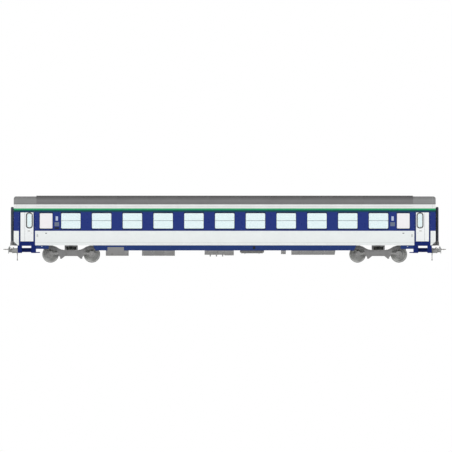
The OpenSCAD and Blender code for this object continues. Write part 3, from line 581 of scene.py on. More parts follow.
# The clear panes glow faintly, a painted light; the milky ones don't glow.
glass("window_glass", "#9ff0f8", 0.08, 0.75, 0.03, 0.22)
glass("milk_glass", "#f7f3f7", 0.93, 1.0, 0.4)
dress("window_glass", "window_panes", "door_panes")
dress("milk_glass", "toilet_panes")

# %% [markdown]
# ### Doors, frames and steps
# The folding leaves are white with a fold line down the outer third. The frame round them and the steps under
# them are the sill's blue, and everything near the rails has its share of brake dust.

# %% Door, frame, step and sill paint
def leaf_paint():
    """White outside and pale grey inside, with the fold as a grey line that is also in the bump."""
    f = Finish("door_white")
    fold = f.near(f.away(f.x), DOOR_X + 0.133, 0.007)
    paint = f.mix(fold, "#eef1f2", "#959b9d")
    paint = f.mix(f.near(f.away(f.y), 0.0, DOOR_FACE - 0.02), paint, "#c9cbc8")
    f.bump(fold, 0.004, 0.8)
    f.bump(f.noise(1.6, 1.0), 0.004)
    f.weather(paint, rough=0.35, clouds=0.03, dust=0.18, dust_top=2.0, grain=0.00015)


def end_paint():
    """Blue, with a grey band round the height of the floor."""
    f = Finish("end_wall_blue")
    paint = f.mix(f.near(f.z, FLOOR - 0.1, 0.14), "#22336e", "#85878a")
    f.weather(paint, 0.42, clouds=0.06, dust=0.15, dust_top=2.4)


leaf_paint()
end_paint()
plain("frame_blue", "#182c70", 0.4, shine=0.08, clouds=0.05, dust=0.02)
plain("sill_blue", "#233870", 0.4, shine=0.1, clouds=0.06, dust=0.05, dust_top=1.2)
plain("step_blue", "#172666", 0.5, shine=0.05, clouds=0.08, dust=0.0, dust_top=1.3, grain=0.0008)
dress("door_white", *[f"entrance_door_{end}_{side}" for end in "ab" for side in ("left", "right")])
dress("frame_blue", "door_frames")
dress("sill_blue", "sills")
dress("step_blue", "entrance_steps")
dress("end_wall_blue", "end_wall_a", "end_wall_b")

# %% [markdown]
# ### Metal, rubber and running gear
# Frames and equipment are mid-grey machinery enamel. Buffers shine where the heads rub, and wheels shine on
# the tread: that mask is the distance from the axle, so each wheelset has its own copy of the finish.
# A Bevel node finds edges: where the bevelled normal leaves the true one, paint is worn to bright metal.

# %% Machinery paint with worn edges
def machine_paint(name, code, rough=0.55, wear=0.35, dust=0.3, metal=0.0, clouds=0.1, grain=0.0008):
    """Enamel that is worn at its edges and has a few oil stains, under the usual weather."""
    f = Finish(name, metal)
    soft = f.add("Bevel", {"samples": 4}, Radius=0.008).outputs[0]
    same = f.add("VectorMath", {"operation": "DOT_PRODUCT"})
    f.feed(same.inputs[0], soft)
    f.feed(same.inputs[1], f.add("NewGeometry").outputs["Normal"])
    edge = f.ramp(same.outputs["Value"], 0.99, 0.8)
    worn = f.times(edge, f.ramp(f.noise(24.0, 4.0), 0.42, 0.62, 0.0, wear))
    base = f.mix(worn, code, WORN_METAL)
    base = f.mix(f.times(f.ramp(f.noise(3.4, 5.0), 0.58, 0.72), 0.3), base, OIL)
    f.weather(base, rough, clouds, dust, 1.1, grain)


MACHINE_PAINTS = {
    "bogie_enamel": dict(code="#838384", dust=0.12),
    "equipment_enamel": dict(code="#878788", rough=0.5, wear=0.2, dust=0.2, clouds=0.06),
    "cast_iron": dict(code="#939393", rough=0.6, dust=0.12),
    "brake_iron": dict(code="#5c5a57", rough=0.65, dust=0.35),
    "buffer_enamel": dict(code="#a3a4a4", rough=0.5, wear=0.4, dust=0.1),
    "underframe_enamel": dict(code="#57585c", rough=0.6, wear=0.1, dust=0.25),
    "tread_steel": dict(code="#16204f", rough=0.5, wear=0.15, dust=0.02),
    "fitting_black": dict(code="#212328", rough=0.5, wear=0.25, dust=0.1),
    # A dark paint for the plates in the bogie's spring nest, which are a painted shade.
    "shade_plate_paint": dict(code="#363a3a", rough=0.6, wear=0.1, dust=0.1),
    "coupling_steel": dict(code="#8f8c88", rough=0.42, metal=0.4, wear=0.5),
    "spring_black": dict(code="#4a4b4a", rough=0.5, wear=0.15, dust=0.1, clouds=0.15),
    "bare_steel": dict(code="#b9b9b6", rough=0.3, metal=1.0, wear=0.0, dust=0.05, grain=0.0002),
    "aluminium": dict(code="#8b979b", rough=0.4, metal=0.3, wear=0.0, dust=0.0, grain=0.0002),
}
for name, recipe in MACHINE_PAINTS.items():
    machine_paint(name, **recipe)
plain("black_rubber", "#424953", 0.7, clouds=0.12, dust=0.2, dust_top=2.4, grain=0.0012, grain_scale=60.0)
for name, code, rough, clouds in (("seal_rubber", "#202c4a", 0.6, 0.05),
                                  ("door_seal_rubber", "#0d1618", 0.6, 0.05),
                                  ("hatch_black", "#070912", 0.5, 0.1)):
    plain(name, code, rough, clouds=clouds, dust=0.0, grain=0.0004)
dress("underframe_enamel", "underframe")
dress("buffer_enamel", "buffers_a", "buffers_b")
dress("coupling_steel", "couplings")
dress("equipment_enamel", "gangway_feet", "headstocks", "battery_boxes", "converter_boxes", "climate_unit",
      "air_reservoirs", "valve_boxes", "water_tanks")
dress("bogie_enamel", "bogie_frame_a", "bogie_frame_b", "bolster_a", "bolster_b")
dress("cast_iron", "axle_boxes_a", "axle_boxes_b")
dress("brake_iron", "brake_gear_a", "brake_gear_b")
dress("black_rubber", "gangway_rubber_a", "gangway_rubber_b")
dress("spring_black", "springs_a", "springs_b")

# %% [markdown]
# ### Wheel steel
# Rails polish a wheel's tread and brake pads polish the discs, while the web between them stays dull.
# Painted masks cost less than a split wheel: each is a range of the distance from the axle, and the
# finish turns with the wheelset because it reads Object coordinates. The face was turned on a lathe, and a
# sine of the same distance leaves its fine grooves.

# %% Wheel steel, bright on the tread
def wheel_steel(name, centre):
    """Steel by the distance from the axle's centre, with a bright tread and bright brake discs."""
    f = Finish(name, metal=0.1)
    across = f.math("SUBTRACT", f.x, centre[0])
    up = f.math("SUBTRACT", f.z, centre[2])
    radius = f.math("SQRT", f.math("ADD", f.times(across, across), f.times(up, up)))
    tread = f.times(f.ramp(radius, 0.452, 0.468), f.near(f.away(f.y), 0.765, 0.045))
    disc = f.times(f.near(f.away(f.y), 0.33, 0.062), f.near(radius, 0.215, 0.085))
    dull = f.mix(f.ramp(f.noise(5.0, 4.0), 0.35, 0.7), "#b8b9b8", "#c6c7c5")
    f.bump(f.math("SINE", f.times(radius, 900.0)), 0.00015)
    f.weather(f.mix(f.either(tread, disc), dull, "#d2d2d0"), rough=0.48, clouds=0.06, dust=0.1, dust_top=1.0)


for name, centre in AXLES.items():
    wheel_steel(f"wheel_steel_{name}", centre)
    dress(f"wheel_steel_{name}", f"wheelset_{name}")

# %% [markdown]
# ### Inside finishes
# The saloon is seen only through tinted panes, so one colour with faint clouds is enough for vinyl, laminate
# and shells. Two things need more: lamp diffusers glow a little, and upholstery has a weave and a sheen.

# %% Inside finishes
plain("floor_vinyl", "#4a5566", 0.6, clouds=0.12, dust=0.0, grain=0.0006)
plain("wall_laminate", "#cbb994", 0.4, clouds=0.04, dust=0.0, grain=0.0002)
plain("ceiling_white", "#e4e4df", 0.55, clouds=0.03, dust=0.0)
plain("seat_shell", "#767c83", 0.45, clouds=0.05, dust=0.0, grain=0.0003)
plain("rack_metal", "#b9bec2", 0.3, metal=0.7, clouds=0.03, dust=0.0, grain=0.0002)
plain("end_door_metal", "#a4aab0", 0.4, metal=0.2, clouds=0.05, dust=0.1, dust_top=2.6)
plain("gutter_grey", "#cfd3d2", 0.4, dust=0.0)
plain("marker_white", "#f1f2f0", 0.4, dust=0.05)
dress("floor_vinyl", "floor")
dress("wall_laminate", "partitions")
dress("seat_shell", "seat_frames")
dress("rack_metal", "luggage_racks")
dress("end_door_metal", "end_door_a", "end_door_b")


def lamp_glass(name, code, glow):
    """Glossy moulded plastic, which may give off a little of its own colour."""
    f = Finish(name, coat=0.5, Emission_Color=code, Emission_Strength=glow)
    f.weather(code, 0.2, clouds=0.04, dust=0.0)


def woven(name, code, second):
    """Upholstery: a plain weave is two sets of threads, so two waves at right angles make the bump."""
    f = Finish(name, Sheen_Weight=0.35, Sheen_Roughness=0.5)
    warp = f.math("SINE", f.times(f.math("ADD", f.x, f.z), 1500.0))
    f.bump(f.times(warp, f.math("SINE", f.times(f.y, 1500.0))), 0.0006)
    fleck = f.ramp(f.noise(70.0, 2.0), 0.52, 0.66)
    f.weather(f.mix(fleck, code, second), 0.85, clouds=0.08, dust=0.0)


lamp_glass("red_lens", "#a3201c", 0.0)
lamp_glass("light_diffuser", "#f3f1e8", 0.3)
woven("seat_cloth", "#35517f", "#6f8fb8")
woven("piping_cloth", "#1f2f52", "#2f4471")
print("finishes:", len(FINISHES))

# %% [markdown]
# ## The ribbed roof
# A coach roof of this kind has pressed ribs that run from end to end and stiffen thin sheet. The CAD roof
# is a smooth shell, so this piece stands for it. The section is two small arcs and one large arc that meet
# on a common tangent. The ribs are a raised cosine along the large arc, cut only inwards, so the roof keeps
# its size. Every bay has a welded cross joint, which is a narrow dip in the same surface.

# %% Roof skin and ceiling
SIDE_STEPS, RIB_STEPS, RIB_DEPTH = 14, 200, 0.009


def roof_section(inset, steps=RIB_STEPS):
    """The section's Y and Z by angle, from the right edge over the top to the left, drawn inset."""
    side = np.linspace(0, TURN, SIDE_STEPS, endpoint=False)[:, None]
    top = np.linspace(TURN, np.pi - TURN, steps)[:, None]
    right = (CORNER_R - inset) * np.hstack([np.cos(side), np.sin(side)]) + [HALF_W - CORNER_R, CANT]
    arch = (ARCH_R - inset) * np.hstack([np.cos(top), np.sin(top)]) + ARCH_CENTRE
    return np.concatenate([right, arch, right[::-1] * [-1, 1]])


def ribbed_section():
    """The section with ribs: the large arc lies inwards by a clipped cosine, which fades out at both ends."""
    section = roof_section(0.0)
    along = np.linspace(0, 1, RIB_STEPS)
    wave = np.clip(0.5 - 0.9 * np.cos(2 * np.pi * RIBS * along), 0, 1)
    depth = RIB_DEPTH * wave * np.clip(np.minimum(along, 1 - along) * 30, 0, 1)
    arch = section[SIDE_STEPS:-SIDE_STEPS]
    arch[:] = ARCH_CENTRE + (arch - ARCH_CENTRE) * (1 - depth[:, None] / ARCH_R)
    return section


def tunnel(outer, inner, stations, dips=0.0):
    """A long shell: outer and inner section carried along X, with the outer one sunk by a dip a station."""
    dips = np.broadcast_to(dips, len(stations))[:, None, None]
    sunk = ARCH_CENTRE + (outer - ARCH_CENTRE) * (1 - dips / ARCH_R)
    loop = np.concatenate([sunk, np.broadcast_to(inner[::-1], (len(stations),) + inner.shape)], 1)
    across = np.broadcast_to(np.asarray(stations)[:, None, None], loop.shape[:2] + (1,))
    around = loop.shape[1]
    k = np.arange(len(outer) - 1)
    cap = np.stack([k, k + 1, around - 2 - k, around - 1 - k], 1)
    last = cap[:, ::-1] + (len(stations) - 1) * around
    faces = [grid_faces(len(stations), around, False, True), cap, last]
    return outward((np.concatenate([across, loop], 2).reshape(-1, 3), faces))


joints = BAYS[:-1] + PITCH / 2
stations = np.add.outer(joints, (-0.012, -0.004, 0.004, 0.012)).ravel()
roof_ends = [ROOF_LOW[0], ROOF_HIGH[0]]
stations = np.sort(np.concatenate([roof_ends, stations]))
weld_dips = np.where(np.abs(stations[:, None] - joints).min(1) < 0.006, 0.003, 0.0)
add_piece("roof_skin", tunnel(ribbed_section(), roof_section(0.025), stations, weld_dips), "roof_grey",
          slot="roof_paint", sharp=60, stands_for="roof_middle")
add_piece("ceiling_panels", tunnel(roof_section(0.045, 40), roof_section(0.06, 40), roof_ends),
          "ceiling_white", sharp=60)

# %% [markdown]
# ## Rain gutters and roof trim
# A thin gutter runs along the light-grey foot of the middle roof and throws water clear of the windows.
# Over it, a ledge marks where the grey begins.

# %% Gutter and ledge
def roof_strip(z, low, high, inwards, outer_y, radius):
    """A strip along the middle roof's small side arc, at both sides; out to a given Y."""
    arc_y = HALF_W - CORNER_R + math.sqrt(CORNER_R ** 2 - (z - CANT) ** 2)
    strip_y = (arc_y - inwards, outer_y or arc_y + 0.008)
    return mirrored(soft_box(*roof_ends, *strip_y, z - low, z + high, radius), 1)


add_piece("rain_gutters", roof_strip(CANT + 0.086, 0.009, 0.009, 0.012, HALF_W - 0.0004, 0.003),
          "gutter_grey", slot="roof_paint")
add_piece("roof_ledges", roof_strip(GREY_FROM, 0.006, 0.014, 0.015, None, 0.004), "roof_grey",
          slot="roof_paint")

# %% [markdown]
# ## Window seals, glazing bars and inner trims
# Each pane sits in a rubber seal that fills the step between glass and wall. It is one half-round profile
# carried round the window's outline. Across the middle of every saloon window lies a slim bar, where the
# upper pane drops. Inside, a pale trim hides the cut edge of the wall.

# %% Seals, bars and trims
def window_ring(profile, width=WINDOW_W, x=0.0):
    """A profile carried round the outline of a side window."""
    return ring(width, WINDOW_H, WINDOW_R, profile, x, WINDOW_Z)


def glazing_bar(back, front, half_high):
    """A soft box across a window, between two distances from the pane's outer face."""
    half = WINDOW_W / 2 - 0.018
    z = WINDOW_Z + 0.015
    return soft_box(-half, half, PANE_FACE + back, PANE_FACE + front, z - half_high, z + half_high, 0.003)


INNER_PANE_FACE = PANE_FACE - 0.0245
seal_profile = half_round(-0.014, -0.0006, PANE_FACE + 0.0002, HALF_W - 0.0015)
toilet_seal = window_ring(seal_profile, TOILET_W, TOILET_X)
seals = join(repeated(window_ring(seal_profile), EVERY_BAY), mirrored(toilet_seal, 0))
add_piece("window_seals", mirrored(seals, 1), "seal_rubber")
bars = join(glazing_bar(AIR, 0.007, 0.013), glazing_bar(-0.034, -0.0245, 0.016))
add_piece("glazing_bars", mirrored(repeated(bars, EVERY_BAY), 1), "aluminium")
trim = window_ring([(0.045, INNER_Y - 0.010), (0.042, INNER_Y - FIT), (0.0, INNER_Y - FIT),
                    (-0.002, INNER_PANE_FACE), (-0.010, INNER_PANE_FACE), (-0.010, INNER_Y - 0.008)])
add_piece("window_trims", mirrored(repeated(trim, EVERY_BAY), 1), "ceiling_white")

# %% [markdown]
# ## Entrance doors
# Each leaf has an oblong window in a pale frame with a thin dark seal round it, a rubber seal in the gap to
# the portal, a recessed handle and a grab rail at either side. The rails stand in the portal's recess,
# because nothing on the side of a coach may stand out beyond its wall.

# %% Door furniture
def door_ring(inner, outer, back, front):
    """A half-round profile carried round the oblong window of a door leaf."""
    profile = half_round(inner, outer, DOOR_FACE + back, DOOR_FACE + front)
    return ring(LIGHT_W, LIGHT_H, LIGHT_W * 0.38, profile, LIGHT_X, LIGHT_Z, 8)


leaf_w, _, leaf_h = DOOR_HIGH - DOOR_LOW
portal_face = PORTAL_HIGH[1]
gap_profile = half_round(0.001, 0.016, portal_face + AIR, DOOR_FACE + 0.006)
leaf_seal = ring(leaf_w, leaf_h, 0.012, gap_profile, DOOR_X, (DOOR_HIGH[2] + DOOR_LOW[2]) / 2)
rail_x = (DOOR_HIGH[0] + PORTAL_HIGH[0]) / 2 - 0.004
rails = join(*[standing_rail(0, x, portal_face, HALF_W - 0.0105 - portal_face, 1.55, 2.75, 0.009, 5)
               for x in (rail_x, 2 * DOOR_X - rail_x)])
handle_x, handle_z, surface_y = LIGHT_X + 0.03, 1.93, DOOR_FACE + AIR
dish = ring(0.15, 0.075, 0.034, half_round(-0.012, 0.004, surface_y, DOOR_FACE + 0.004), handle_x, handle_z)
lever = soft_box(handle_x - 0.05, handle_x + 0.045, surface_y, DOOR_FACE + 0.009,
                 handle_z - 0.012, handle_z + 0.012)
button = turned([(0, 0.022), (0.006, 0.022), (0.009, 0.016)], (DOOR_X - 0.28, surface_y, 1.80), "y")
dark_rings = join(door_ring(0.010, 0.064, AIR, 0.008), door_ring(-0.014, -0.004, -0.008, 0.007))
for name, shape, finish in (("door_window_frames", door_ring(-0.010, 0.009, AIR, 0.005), "ceiling_white"),
                            ("door_window_seals", dark_rings, "door_seal_rubber"),
                            ("door_seals", leaf_seal, "seal_rubber"),
                            ("grab_rails", rails, "sill_blue"),
                            ("door_handles", join(dish, lever, button), "bare_steel")):
    add_piece(name, mirrored(shape, 0, 1), finish)

# %% [markdown]
# ## Steps
# A step has a grooved nosing that keeps a boot from slipping and rows of low ribs. The nosing is a soft strip
# along the tread's edge, and the ribs are one shape copied every 24 mm.

# %% Step nosings and treads
STEP_FOOT, STEP_FACE = corners("entrance_steps")[0][2], corners("entrance_steps")[1][1]
TREAD_X0, TREAD_X1 = DOOR_X - 0.255, DOOR_X + 0.300
step_shapes = []
for tread_z, edge, back, front in ((0.890, STEP_FACE - 0.09, 0.235, 0.095),
                                   (STEP_FOOT + 0.081, STEP_FACE, 0.21, 0.004)):
    rows = np.arange(STEP_FACE - back + 0.012, STEP_FACE - front - 0.008, 0.024)
    rib = soft_box(TREAD_X0 + 0.01, TREAD_X1 - 0.01, -0.004, 0.004, tread_z + AIR, tread_z + 0.005, 0.002)
    nosing = soft_box(TREAD_X0, TREAD_X1, edge - 0.018, edge - 0.001, tread_z - 0.022, tread_z + 0.006)
    step_shapes += [repeated(rib, [(0, y, 0) for y in rows]), nosing]
add_piece("step_treads", mirrored(join(*step_shapes), 0, 1), "tread_steel")

# %% [markdown]
# ## Rubber gangway
# Between two coaches the gangway is sealed by fat rubber tubes that press against each other: one at each
# side and one on top. The tube's section is a squashed circle, a superellipse, whose power decides how boxy
# it is. It runs up, round a tight corner, across and down again. Shallow folds every 0.3 m come from the
# same formula.

# %% Gangway rolls
RUBBER_LOW, RUBBER_HIGH = corners("gangway_rubber_b")
ROLL_T, FOLD_EVERY, FOLD_DEPTH = 0.190, 0.3, 0.045


def gangway_path(steps=70, bend=0.11, top_drop=0.012):
    """The tube's middle line in Y and Z: two uprights, two quarter bends and the top, evenly stepped."""
    half, top = RUBBER_HIGH[1:] - ROLL_T / 2 - [0, top_drop]
    up = np.linspace(RUBBER_LOW[2], top - bend, steps, endpoint=False)
    turn = np.linspace(0, np.pi / 2, 9)
    across = np.linspace(half - bend, 0, 24, endpoint=False)[1:]
    y = np.concatenate([np.full(steps, half), half - bend + bend * np.cos(turn), across])
    z = np.concatenate([up, top - bend + bend * np.sin(turn), np.full(len(across), top)])
    return np.stack([np.concatenate([y, [0.0], -y[::-1]]), np.concatenate([z, [top], z[::-1]])], 1)


def gangway_roll(sides=28, power=2.9):
    """The tube: at each point of the path a superellipse, drawn in a little where a fold lies."""
    path = gangway_path()
    ahead = np.gradient(path, axis=0)
    ahead /= np.linalg.norm(ahead, axis=1, keepdims=True)
    out = np.stack([ahead[:, 1], -ahead[:, 0]], 1)
    run = np.concatenate([[0], np.cumsum(np.linalg.norm(np.diff(path, axis=0), axis=1))])
    from_fold = (run + FOLD_EVERY / 2) % FOLD_EVERY - FOLD_EVERY / 2
    fold = 1 - FOLD_DEPTH * np.exp(-(from_fold / 0.012) ** 2)
    around = circle(1.0, sides)
    around = around / ((np.abs(around) ** power).sum(1) ** (1 / power))[:, None]
    size = fold[:, None, None] * around
    points = np.empty((len(path), sides, 3))
    middle_x = sum(corners("gangway_rubber_b"))[0] / 2
    points[..., 0] = middle_x + size[..., 1] * ((RUBBER_HIGH - RUBBER_LOW)[0] / 2 - FIT)
    points[..., 1:] = path[:, None] + out[:, None] * size[..., :1] * (ROLL_T / 2 - 0.001)
    return tube(points)


for end in "ab":
    add_piece(f"gangway_roll_{end}", at_end(gangway_roll(), end), "black_rubber", slot="gangway_rubber",
              sharp=70, stands_for=f"gangway_rubber_{end}")

# %% [markdown]
# ## The coach's ends
# Round the doorway an end wall carries what couples with the next coach: grab rails for the shunter, tail
# lamps, power sockets with hinged lids, a kick plate on the doorstep, and a window in the sliding door.

# %% End wall fittings
def on_wall(y0, y1, z0, z1, x0=0.0, x1=0.03, radius=0.004):
    """A soft box that stands off the end wall from x0 to x1."""
    return soft_box(HALF_L + x0, HALF_L + x1, y0, y1, z0, z1, radius)


LAMP_Y, LAMP_Z, SOCKET_Y = 1.13, 2.86, 0.92
end_rails = join(standing_rail(1, 1.20, HALF_L, 0.055, 1.35, 2.55, 0.012, 6),
                 standing_rail(1, 0.87, HALF_L, 0.055, 1.25, 1.95, 0.012, 6),
                 repeated(on_wall(0.99, 1.19, 0, 0.02, 0, 0.06), [(0, 0, z) for z in (1.42, 1.78, 2.14)]))
lamp_body = turned([(0, 0.095), (0.018, 0.095), (0.028, 0.086), (0.030, 0.07)],
                   (HALF_L + AIR, LAMP_Y, LAMP_Z), "x", 28)
lamp_lens = turned([(0, 0.074), (0.003, 0.07), (0.006, 0.05), (0.008, 0.02)],
                   (HALF_L + 0.027, LAMP_Y, LAMP_Z), "x", 28)
sockets = join(on_wall(SOCKET_Y - 0.09, SOCKET_Y + 0.09, 2.25, 2.47, 0, 0.07, 0.01),
               on_wall(SOCKET_Y - 0.10, SOCKET_Y + 0.10, 2.44, 2.48, 0, 0.085, 0.006),
               on_wall(0.90, 1.10, 1.10, 1.22, 0, 0.06, 0.01),
               turned([(0, 0.05), (0.02, 0.05), (0.03, 0.036)], (HALF_L + 0.0695, SOCKET_Y, 2.35), "x", 16))
kick_plate = on_wall(-0.39, 0.39, FLOOR - 0.03, FLOOR - 0.002, AIR, 0.02, 0.003)
add_at_ends("end_rails", mirrored(end_rails, 1), "fitting_black")
add_at_ends("tail_lamps", mirrored(lamp_body, 1), "fitting_black")
add_at_ends("tail_lenses", mirrored(lamp_lens, 1), "red_lens")
add_at_ends("power_sockets", join(mirrored(sockets, 1), kick_plate), "fitting_black")

# %% [markdown]
# ## Sliding end doors
# The door to the gangway is a single leaf that slides sideways. Its milky pane lies in a rubber rim outside
# and inside, and a bowed handle is welded to the inner face. All three ride on the door's own body, so that
# they slide with the leaf when it moves.

# %% Sliding end doors
GLASS_Z = 2.55
leaf_in, leaf_out = corners("end_door_b")[0][0], corners("end_door_b")[1][0]


def end_pane(width, height, radius, x0, x1):
    """A plate with round corners that faces along X, at the height of the end door's window."""
    return extruded(frame_outline(width, height, radius, 6)[0] + [0, GLASS_Z], x0, x1, "x")


outer_rim = ring(0.45, 0.80, 0.08, half_round(-0.020, -0.0006, leaf_out - 0.0038, leaf_out - 0.0004))
inner_rim = ring(0.49, 0.84, 0.10, half_round(-0.03, 0.0, leaf_in - AIR, leaf_in - 0.007))
panes = join(end_pane(0.442, 0.792, 0.076, leaf_out - 0.0115, leaf_out - 0.004),
             end_pane(0.44, 0.79, 0.07, leaf_in - 0.004, leaf_in - FIT))
bow = np.linspace(0, np.pi, 13)
bow_path = np.column_stack([leaf_in - 0.045 * np.sin(bow) ** 0.5, np.full(13, -0.33),
                            2.05 - 0.11 * np.cos(bow)])
rims = join(facing_x(outer_rim, GLASS_Z), facing_x(inner_rim, GLASS_Z))
for name, shape, finish in (("glass", panes, "milk_glass"), ("rims", rims, "seal_rubber"),
                            ("handle", bar(bow_path, 0.011), "bare_steel")):
    add_at_ends(f"end_door_{name}", shape, finish, "end_door_{}")

# %% [markdown]
# ## Buffers
# A buffer's casing is a stack of turned rings bolted to a base plate. A lathe would make each ring, so each
# is a turned profile here. The bolts are one shape, copied to the plate's corners and round the collar.

# %% Buffer rings and bolts
BUFFER_LOW, BUFFER_HIGH = corners("buffers_b")
BUFFER_Y, HEAD_Z = BUFFER_HIGH[1] - 0.3, BUFFER_HIGH[2] - 0.485 / 2
CASING_Z, BEAM_FACE = HEAD_Z - 0.075, BUFFER_LOW[0] - FIT
casing = BEAM_FACE + 0.05


def bolts(centres, axis="y", size=0.014, height=0.010):
    """Hexagon heads on round washers, with domed thread ends, at the given centres."""
    lift = np.eye(3)["xyz".index(axis)] * 0.003
    washer = turned([(0, size * 1.35), (0.003, size * 1.3)], (0, 0, 0), axis, 12)
    head = turned([(0, size), (height * 0.8, size), (height, size * 0.85)], lift, axis, 6)
    stud = turned([(0, size * 0.5), (height * 0.4, size * 0.45)], lift * (1 + height / 0.003), axis, 8)
    return repeated(join(washer, head, stud), centres)


RING_STACKS = ([(0.0, 0.17), (0.022, 0.17), (0.03, 0.152), (0.07, 0.146), (0.075, 0.1385)],
               [(0.255, 0.1385), (0.262, 0.150), (0.300, 0.150), (0.309, 0.142), (0.313, 0.0955)],
               [(0.316, 0.0955), (0.322, 0.112), (0.338, 0.112), (0.344, 0.0955)])
buffer_rings = join(*[turned(rings, (casing, BUFFER_Y, CASING_Z), "x", 32) for rings in RING_STACKS])
corner_bolts = [(casing + 0.0103, BUFFER_Y + dy, CASING_Z + dz)
                for dy in (-0.16, 0.16) for dz in (-0.135, 0.135)]
collar = [(casing + 0.022, BUFFER_Y + y, CASING_Z + z) for y, z in circle(0.160, 8, math.pi / 8)]
add_at_ends("buffer_rings", mirrored(buffer_rings, 1), "buffer_enamel")
buffer_bolts = join(bolts(corner_bolts, "x", 0.018), bolts(collar, "x", 0.010))
add_at_ends("buffer_bolts", mirrored(buffer_bolts, 1), "cast_iron")

# %% [markdown]
# ## Screw coupling
# The screw coupling hangs between the two links of the draw hook: a threaded spindle between two nuts, which
# draws the coaches together. A thread could be a helix, but a row of turned rings looks the same at this size
# and has far fewer faces. Beside it, the collars on the air pipes are turned parts as well.

# %% Screw coupling and air pipe ends
LINK_Z = HEAD_Z + 0.01
SCREW_X0, SCREW_X1 = HALF_L + 0.20, HALF_L + 0.506
SCREW_MID, THREAD_PITCH = (SCREW_X0 + SCREW_X1) / 2, 0.012
THREAD_TURN = ((0, 0.019), (0.004, 0.0235), (0.008, 0.0235), (0.0115, 0.019))
thread = [(start + x, r) for start in np.arange(0, SCREW_X1 - SCREW_X0 - THREAD_PITCH, THREAD_PITCH)
          for x, r in THREAD_TURN]
nuts = [soft_box(x - 0.032, x + 0.032, -0.088, 0.088, LINK_Z - 0.033, LINK_Z + 0.033, 0.010)
        for x in (SCREW_X0 + 0.02, SCREW_X1 - 0.02)]
boss = turned([(-0.032, 0.032), (-0.026, 0.038), (0.026, 0.038), (0.032, 0.032)],
              (SCREW_MID, 0, LINK_Z), "x", 20)
lever = bar([(SCREW_MID - x, 0, LINK_Z - z) for x, z in ((0, 0.03), (0.05, 0.075), (0.16, 0.085))], 0.012, 8)
hook_bolts = bolts([(BEAM_FACE + 0.0303, y, z + 0.838) for y in (-0.12, 0.12) for z in (-0.1, 0.1)],
                   "x", 0.016)
spindle = turned(thread, (SCREW_X0, 0, LINK_Z), "x", 16)
add_at_ends("coupling_screw", join(spindle, *nuts, boss, lever, hook_bolts), "coupling_steel")
PIPE_PARTS = ((0.13, 18, [(0.0, 0.030), (0.006, 0.034), (0.05, 0.034), (0.06, 0.026), (0.075, 0.022)]),
              (0.46, 16, [(0, 0.027), (0.05, 0.027), (0.058, 0.021)]), (0.74, 6, [(0, 0.026), (0.03, 0.026)]))
pipe_ends = join(*[turned(profile, (BEAM_FACE + 0.042, 0.33, z), "z", sides)
                   for z, sides, profile in PIPE_PARTS])
add_at_ends("air_pipe_ends", mirrored(pipe_ends, 1), "cast_iron")

# %% [markdown]
# ## Underfloor equipment
# The boxes hang behind the sill, and only their lower halves show. Real ones open for service, so each face
# is divided into doors with a soft edge, two latches and a hinge line. The converter breathes through
# louvres: slanted slats, one shape copied down the panel.

# %% Service doors, latches and louvres
door_shapes, fitting_shapes = [], []


def service_doors(node, count, louvres=(), x_from=None, x_to=None, lift=0.0):
    """Doors across the visible front of a box, with a latch pair on each, and louvres in the named ones."""
    low, high = corners(node)
    xs = np.linspace(x_from or low[0], x_to or high[0], count + 1)
    z0, z1 = low[2] + lift + 0.018, SILL_FOOT - 0.024
    for k in range(count):
        a, b = xs[k] + 0.016, xs[k + 1] - 0.016
        door_shapes.append(soft_box(a, b, SILL_FACE - 0.001, SILL_FACE + 0.0045, z0, z1, 0.003))
        if k in louvres:
            slat = extruded([(0.0, 0.0), (0.0, 0.012), (0.0065, 0.0)], a + 0.05, b - 0.05, "x")
            rows = np.arange(z0 + 0.03, z1 - 0.03, 0.022)
            door_shapes.append(repeated(slat, [(0, SILL_FACE + 0.004, z) for z in rows]))
        for x in (a + 0.07, b - 0.07):
            latch = turned([(0, 0.016), (0.003, 0.016), (0.004, 0.009), (0.007, 0.008)],
                           (x, SILL_FACE + 0.0042, z1 - 0.028), "y", 12)
            hinge = soft_box(x - 0.028, x + 0.028, SILL_FACE + 0.004, SILL_FACE + 0.0095,
                             z0 + 0.012, z0 + 0.024, 0.003)
            fitting_shapes.extend([latch, hinge])


climate_low, climate_high = corners("climate_unit")
climate_step = climate_low[0] + (climate_high[0] - climate_low[0]) * 0.68
service_doors("converter_boxes", 3, louvres=(0, 1))
service_doors("climate_unit", 3, louvres=(1,), x_to=climate_step, lift=0.104)
service_doors("climate_unit", 1, x_from=climate_step, lift=0.067)
service_doors("valve_boxes", 1)
service_doors("water_tanks", 4, x_to=corners("water_tanks")[1][0] - 0.10)
battery_low, battery_high = corners("battery_boxes")
for a, b in ((battery_low[0], battery_low[0] + 0.104), (battery_low[0] + 1.104, battery_high[0])):
    door_shapes.append(soft_box(a + 0.012, b - 0.012, SILL_FACE - 0.001, SILL_FACE + 0.004,
                                battery_low[2] + 0.03, SILL_FOOT - 0.026, 0.003))
add_piece("service_doors", mirrored(join(*door_shapes), 1), "equipment_enamel")
add_piece("door_latches", mirrored(join(*fitting_shapes), 1), "bare_steel")

# %% [markdown]
# ## Straps, pipes and floor ribs
# Air tanks hang in steel straps and are drained from below. Pipes run between the bogies near the middle,
# held by clamps, and pressed ribs cross the floor's underside. All of them are bars, boxes and rings in a
# row, which stay in shade, so few faces are enough.

# %% Tank straps, pipes and floor ribs
tank_low, tank_high = corners("air_reservoirs")
tank_r = (SILL_FOOT - tank_low[2]) / 2 + 0.090
tank_y, tank_z = SILL_FACE - 0.088 - tank_r, tank_low[2] + tank_r


def strap(centre, radius, width=0.05, thick=0.006):
    """A steel strap round a tank: a rectangle carried round a circle."""
    inner, outer, side = radius + FIT, radius + thick, width / 2
    section = [(inner, -side), (inner, side), (outer, side), (outer, -side)]
    return repeated(facing_x(carried(np.zeros((32, 2)), circle(1.0, 32), section)), [centre])


